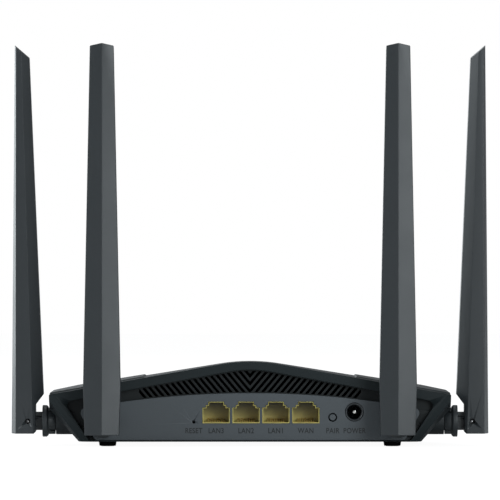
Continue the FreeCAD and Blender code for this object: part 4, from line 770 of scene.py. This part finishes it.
black_plastic = moulded_plastic("black_plastic", BLACK_COLOUR, 0.36, bump=0.06, wear_and_highlight=0.15, dust=0.0)
button_plastic = moulded_plastic("button_plastic", PANEL_COLOUR, 0.45, bump=0.15, wear_and_highlight=0.6, dust=0.0)
moulding("power_socket", black_plastic, POWER_SOCKET_EDGE)
moulding("pair_button", button_plastic, BUTTON_EDGE, "pair_button")
moulding("pair_plunger", black_plastic, PAIR_PLUNGER_EDGE, "pair_button")
moulding("reset_plunger", black_plastic, RESET_PLUNGER_EDGE, "reset_plunger")
for node in ("pair_switch", "reset_switch"):
    moulding(node, black_plastic, SWITCH_EDGE)

nickel = plated_metal("nickel_plate", NICKEL_COLOUR, 0.22)
moulding("power_pin", nickel, POWER_PIN_EDGE)


# ---------------------------------------------------------------- network sockets
# One block of four eight-way sockets, moulded in dull yellow nylon, with stepped mouths and a notch for
# the plug's latch. Each holds eight gold-plated spring wires, bent up from the front.
SOCKET_COLOUR = (0.720, 0.600, 0.180, 1)
SOCKET_EDGE = 0.16 * MM
SOCKET_SHADE_COLOUR = (0.045, 0.040, 0.016, 1)
SOCKET_SHADE_Y = (0.2 * MM, 2.5 * MM)  # behind the mouths
SOCKET_SHADE_Z = (13.0 * MM, 19.5 * MM)
GOLD_COLOUR = (0.72, 0.50, 0.16, 1)
GOLD_TARNISH = (0.20, 0.10, 0.03, 1)
WIRE_RADIUS = 0.2 * MM
WIRES_PER_PORT = 8
WIRE_PITCH = 1.02 * MM
WIRE_STEPS = 8
FIRST_WIRE_IN = 0.225 * MM
WIRE_BEND = (7.0 * MM, 0.4 * MM)  # back and up from its front end

socket_plastic = moulded_plastic("socket_plastic", SOCKET_COLOUR, 0.38, bump=0.08, wear_and_highlight=0.5, dust=0.0)
tree = socket_plastic.node_tree
shader = next(n for n in tree.nodes if n.type == "BSDF_PRINCIPLED")
moulded_tone = shader.inputs["Base Color"].links[0].from_socket
# Painted shade: the yellow darkens behind the sockets' mouths, and more so towards their tops.
place = add(tree, "ShaderNodeTexCoord").outputs["Object"]
place = add(tree, "ShaderNodeSeparateXYZ", {0: place}).outputs
mouth_y = port_low.y
depth = stretch(tree, place["Y"], mouth_y + SOCKET_SHADE_Y[0], mouth_y + SOCKET_SHADE_Y[1])
rise = stretch(tree, place["Z"], *SOCKET_SHADE_Z)
shade = maths(tree, "MULTIPLY", depth, maths(tree, "MULTIPLY_ADD", rise, 0.65, 0.3))
shaded_tone = mix_colour(tree, shade, moulded_tone, SOCKET_SHADE_COLOUR)
tree.links.new(shaded_tone, shader.inputs["Base Color"])
moulding("ethernet_sockets", socket_plastic, SOCKET_EDGE)
gold = plated_metal("gold_plate", GOLD_COLOUR, 0.3, tarnish=0.45, tint=GOLD_TARNISH)

# A row of ports, each a row of wires, each a bent path swept with a round section.
contact_low, contact_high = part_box("ethernet_contacts")
wire_x = contact_low.x + FIRST_WIRE_IN
wire_bend_y, wire_bend_z = contact_low.y + WIRE_BEND[0], contact_low.z + WIRE_BEND[1]
wire_sizes = {
    "Front": Vector((wire_x, contact_low.y, contact_low.z + WIRE_RADIUS)),
    "Bend": Vector((wire_x, wire_bend_y, wire_bend_z)),
    "Back": Vector((wire_x, contact_high.y, contact_high.z - WIRE_RADIUS)),
    "Wire Radius": WIRE_RADIUS,
    "Wires": WIRES_PER_PORT,
    "Wire Pitch": WIRE_PITCH,
    "Ports": len(PORT_NAMES),
    "Port Pitch": port_pitch,
}
wires_tree, size = new_shape("spring_wires", wire_sizes)
path = add(
    wires_tree,
    "GeometryNodeCurveQuadraticBezier",
    {"Resolution": WIRE_STEPS, "Start": size["Front"], "Middle": size["Bend"], "End": size["Back"]},
)
section = circle(wires_tree, ROUND_SIDES, size["Wire Radius"])
swept = {"Curve": path.outputs[0], "Profile Curve": section, "Fill Caps": True}
wire = add(wires_tree, "GeometryNodeCurveToMesh", swept).outputs[0]
for count, pitch in (("Wires", "Wire Pitch"), ("Ports", "Port Pitch")):
    step = add(wires_tree, "ShaderNodeCombineXYZ", {"X": size[pitch]}).outputs[0]
    row = add(wires_tree, "GeometryNodeMeshLine", {"Count": size[count], "Offset": step}, mode="OFFSET")
    wire = at_points(wires_tree, row.outputs[0], wire)
close_shape(wires_tree, wire, gold)

wires = grown_mesh("spring_wires", wires_tree, wire_sizes)
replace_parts(add_piece("spring_wires", wires, gold, "router_body"), "ethernet_contacts")


# ---------------------------------------------------------------- main board
# One glass-fibre board under green solder resist, with copper tracks that show through it. It fills the
# case between the hinges, and everything electrical stands on it.
TRACK_SCALE = 420.0
RESIST_COLOURS = ((0.006, 0.060, 0.026, 1), (0.010, 0.085, 0.036, 1))
TRACK_COLOUR = (0.030, 0.170, 0.070, 1)
BOARD_EDGE = 0.1 * MM

circuit_board, tree = new_material("circuit_board")
place = add(tree, "ShaderNodeTexCoord").outputs["Object"]
cells = [
    add(
        tree,
        "ShaderNodeTexVoronoi",
        {"Vector": place, "Scale": TRACK_SCALE, "Randomness": 0.8},
        distance="CHEBYCHEV",
        feature=feature,
    ).outputs["Distance"]
    for feature in ("F2", "F1")
]
track = stretch(tree, maths(tree, "SUBTRACT", cells[0], cells[1]), 0.10, 0.05)
resist = mix_colour(tree, noise(tree, 90.0, 3.0, 0.6), *RESIST_COLOURS)
board_tone = mix_colour(tree, track, resist, TRACK_COLOUR)
board_rough = maths(tree, "MULTIPLY_ADD", noise(tree, 300.0, 3.0, 0.6), 0.2, 0.25)
surface(tree, board_tone, board_rough, track, 0.3, 0.03 * MM)
moulding("main_board", circuit_board, BOARD_EDGE)


# ---------------------------------------------------------------- parts on the board
# The processor sits under a soft pad and an extruded aluminium cooler. Beside it are its memory, the
# socket transformers, tin-plated radio shields, capacitors in drawn cans and ferrite coils.
EPOXY_COLOUR = (0.012, 0.012, 0.013, 1)
PAD_COLOUR = (0.24, 0.31, 0.40, 1)
FERRITE_COLOUR = (0.022, 0.022, 0.024, 1)
TIN_COLOUR = (0.62, 0.62, 0.60, 1)
CAN_COLOUR = (0.60, 0.61, 0.63, 1)
ALUMINIUM_COLOURS = ((0.42, 0.43, 0.45, 1), (0.56, 0.57, 0.59, 1))

chip_epoxy = moulded_plastic("chip_epoxy", EPOXY_COLOUR, 0.62, bump=0.3, wear_and_highlight=0.2, dust=0.08)
pad_silicone = moulded_plastic("thermal_pad", PAD_COLOUR, 0.75, bump=0.4, wear_and_highlight=0.0, dust=0.05)
ferrite = moulded_plastic("ferrite", FERRITE_COLOUR, 0.70, bump=0.5, fineness=1600.0, wear_and_highlight=0.4, dust=0.1)
tin_plate = plated_metal("tin_plate", TIN_COLOUR, 0.36, scratches=700.0, tarnish=0.3)
drawn_can = plated_metal("capacitor_can", CAN_COLOUR, 0.30, scratches=1100.0, tarnish=0.1)

extrusion, tree = new_material("extruded_aluminium")
place = add(tree, "ShaderNodeTexCoord").outputs["Object"]
drawn = add(tree, "ShaderNodeMapping", {"Vector": place, "Scale": (1.0, 0.02, 1.0)}).outputs[0]
lines = noise(tree, 3000.0, 2.0, 0.6, drawn)
bloom = noise(tree, 130.0, 4.0, 0.6)
metal_tone = mix_colour(tree, bloom, *ALUMINIUM_COLOURS)
metal_rough = maths(tree, "MULTIPLY_ADD", lines, 0.25, 0.30)
surface(tree, metal_tone, metal_rough, lines, 0.2, 0.02 * MM, {"Metallic": 1.0})

for node, material, edge, part_slot in (
    # node, material, rounding in millimetres, slot
    ("processor", chip_epoxy, 0.10, "chip_epoxy"),
    ("memory_chips", chip_epoxy, 0.08, "chip_epoxy"),
    ("magnetics", chip_epoxy, 0.15, "chip_epoxy"),
    ("thermal_pad", pad_silicone, 0.08, "thermal_pad"),
    ("heat_sink", extrusion, 0.12, "extruded_aluminium"),
    ("radio_shields", tin_plate, 0.15, "tin_plate"),
    ("capacitors", drawn_can, 0.20, "capacitor_can"),
    ("inductors", ferrite, 0.15, "ferrite"),
):
    moulding(node, material, edge * MM)


# ---------------------------------------------------------------- antenna leads
# A thin jacketed lead runs from a nickel-plated snap connector on the board to the inside of each hollow
# barrel. The radiator is a narrow printed circuit inside each blade.
PLACES = ("left_rear", "right_rear", "left_side", "right_side")
JACKET_COLOUR = (0.010, 0.010, 0.011, 1)
CONNECTOR_EDGE = 0.08 * MM
LEAD_EDGE = 0.02 * MM
RADIATOR_EDGE = 0.05 * MM

lead_jacket = moulded_plastic("lead_jacket", JACKET_COLOUR, 0.50, bump=0.2, wear_and_highlight=0.2, dust=0.03)
moulding("lead_connectors", nickel, CONNECTOR_EDGE)
for place in PLACES:
    moulding("antenna_lead_" + place, lead_jacket, LEAD_EDGE)
    moulding("antenna_radiator_" + place, circuit_board, RADIATOR_EDGE, "blade_" + place)


# ---------------------------------------------------------------- antenna hinges
# Each antenna turns on a black acetal barrel that snaps into its socket. The barrel ends in a tongue,
# and a steel pin through the tongue carries the blade.
HINGE_COLOUR = (0.0170, 0.0205, 0.0225, 1)
HINGE_EDGE = 0.25 * MM
PIN_COLOUR = (0.42, 0.42, 0.43, 1)
PIN_EDGE = 0.15 * MM

hinge_plastic = moulded_plastic("hinge_plastic", HINGE_COLOUR, 0.40, bump=0.12, wear_and_highlight=0.4, dust=0.02)
pin_steel = plated_metal("pin_steel", PIN_COLOUR, 0.3)
for place in PLACES:
    moulding("hinge_barrel_" + place, hinge_plastic, HINGE_EDGE, "barrel_" + place)
    moulding("pivot_pin_" + place, pin_steel, PIN_EDGE, "blade_" + place)


# ---------------------------------------------------------------- antenna blades
# Each blade is two dark grey ABS mouldings glued along its folds: an outer one with a low ridge, and an
# inner one with a flat back. The faces are flat, and only the edges are rounded.
BLADE_COLOUR = (0.0180, 0.0215, 0.0240, 1)
BLADE_EDGE = 0.30 * MM

blade_plastic = moulded_plastic("blade_plastic", BLADE_COLOUR, 0.39, bump=0.25, fineness=2300.0, wear_and_highlight=0.3)
for place in PLACES:
    halves = {"front": "antenna_front_" + place, "back": "antenna_back_" + place}
    for half, other in (("front", "back"), ("back", "front")):
        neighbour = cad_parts[halves[other]].data.vertices
        seam = KDTree(len(neighbour))
        for i, vertex in enumerate(neighbour):
            seam.insert(vertex.co, i)
        seam.balance()
        moulding(halves[half], blade_plastic, BLADE_EDGE, "blade_" + place, seam)


# ---------------------------------------------------------------- sizes
# The finished model's box, beside the CAD model's box that was taken before any piece was added.
low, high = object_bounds()
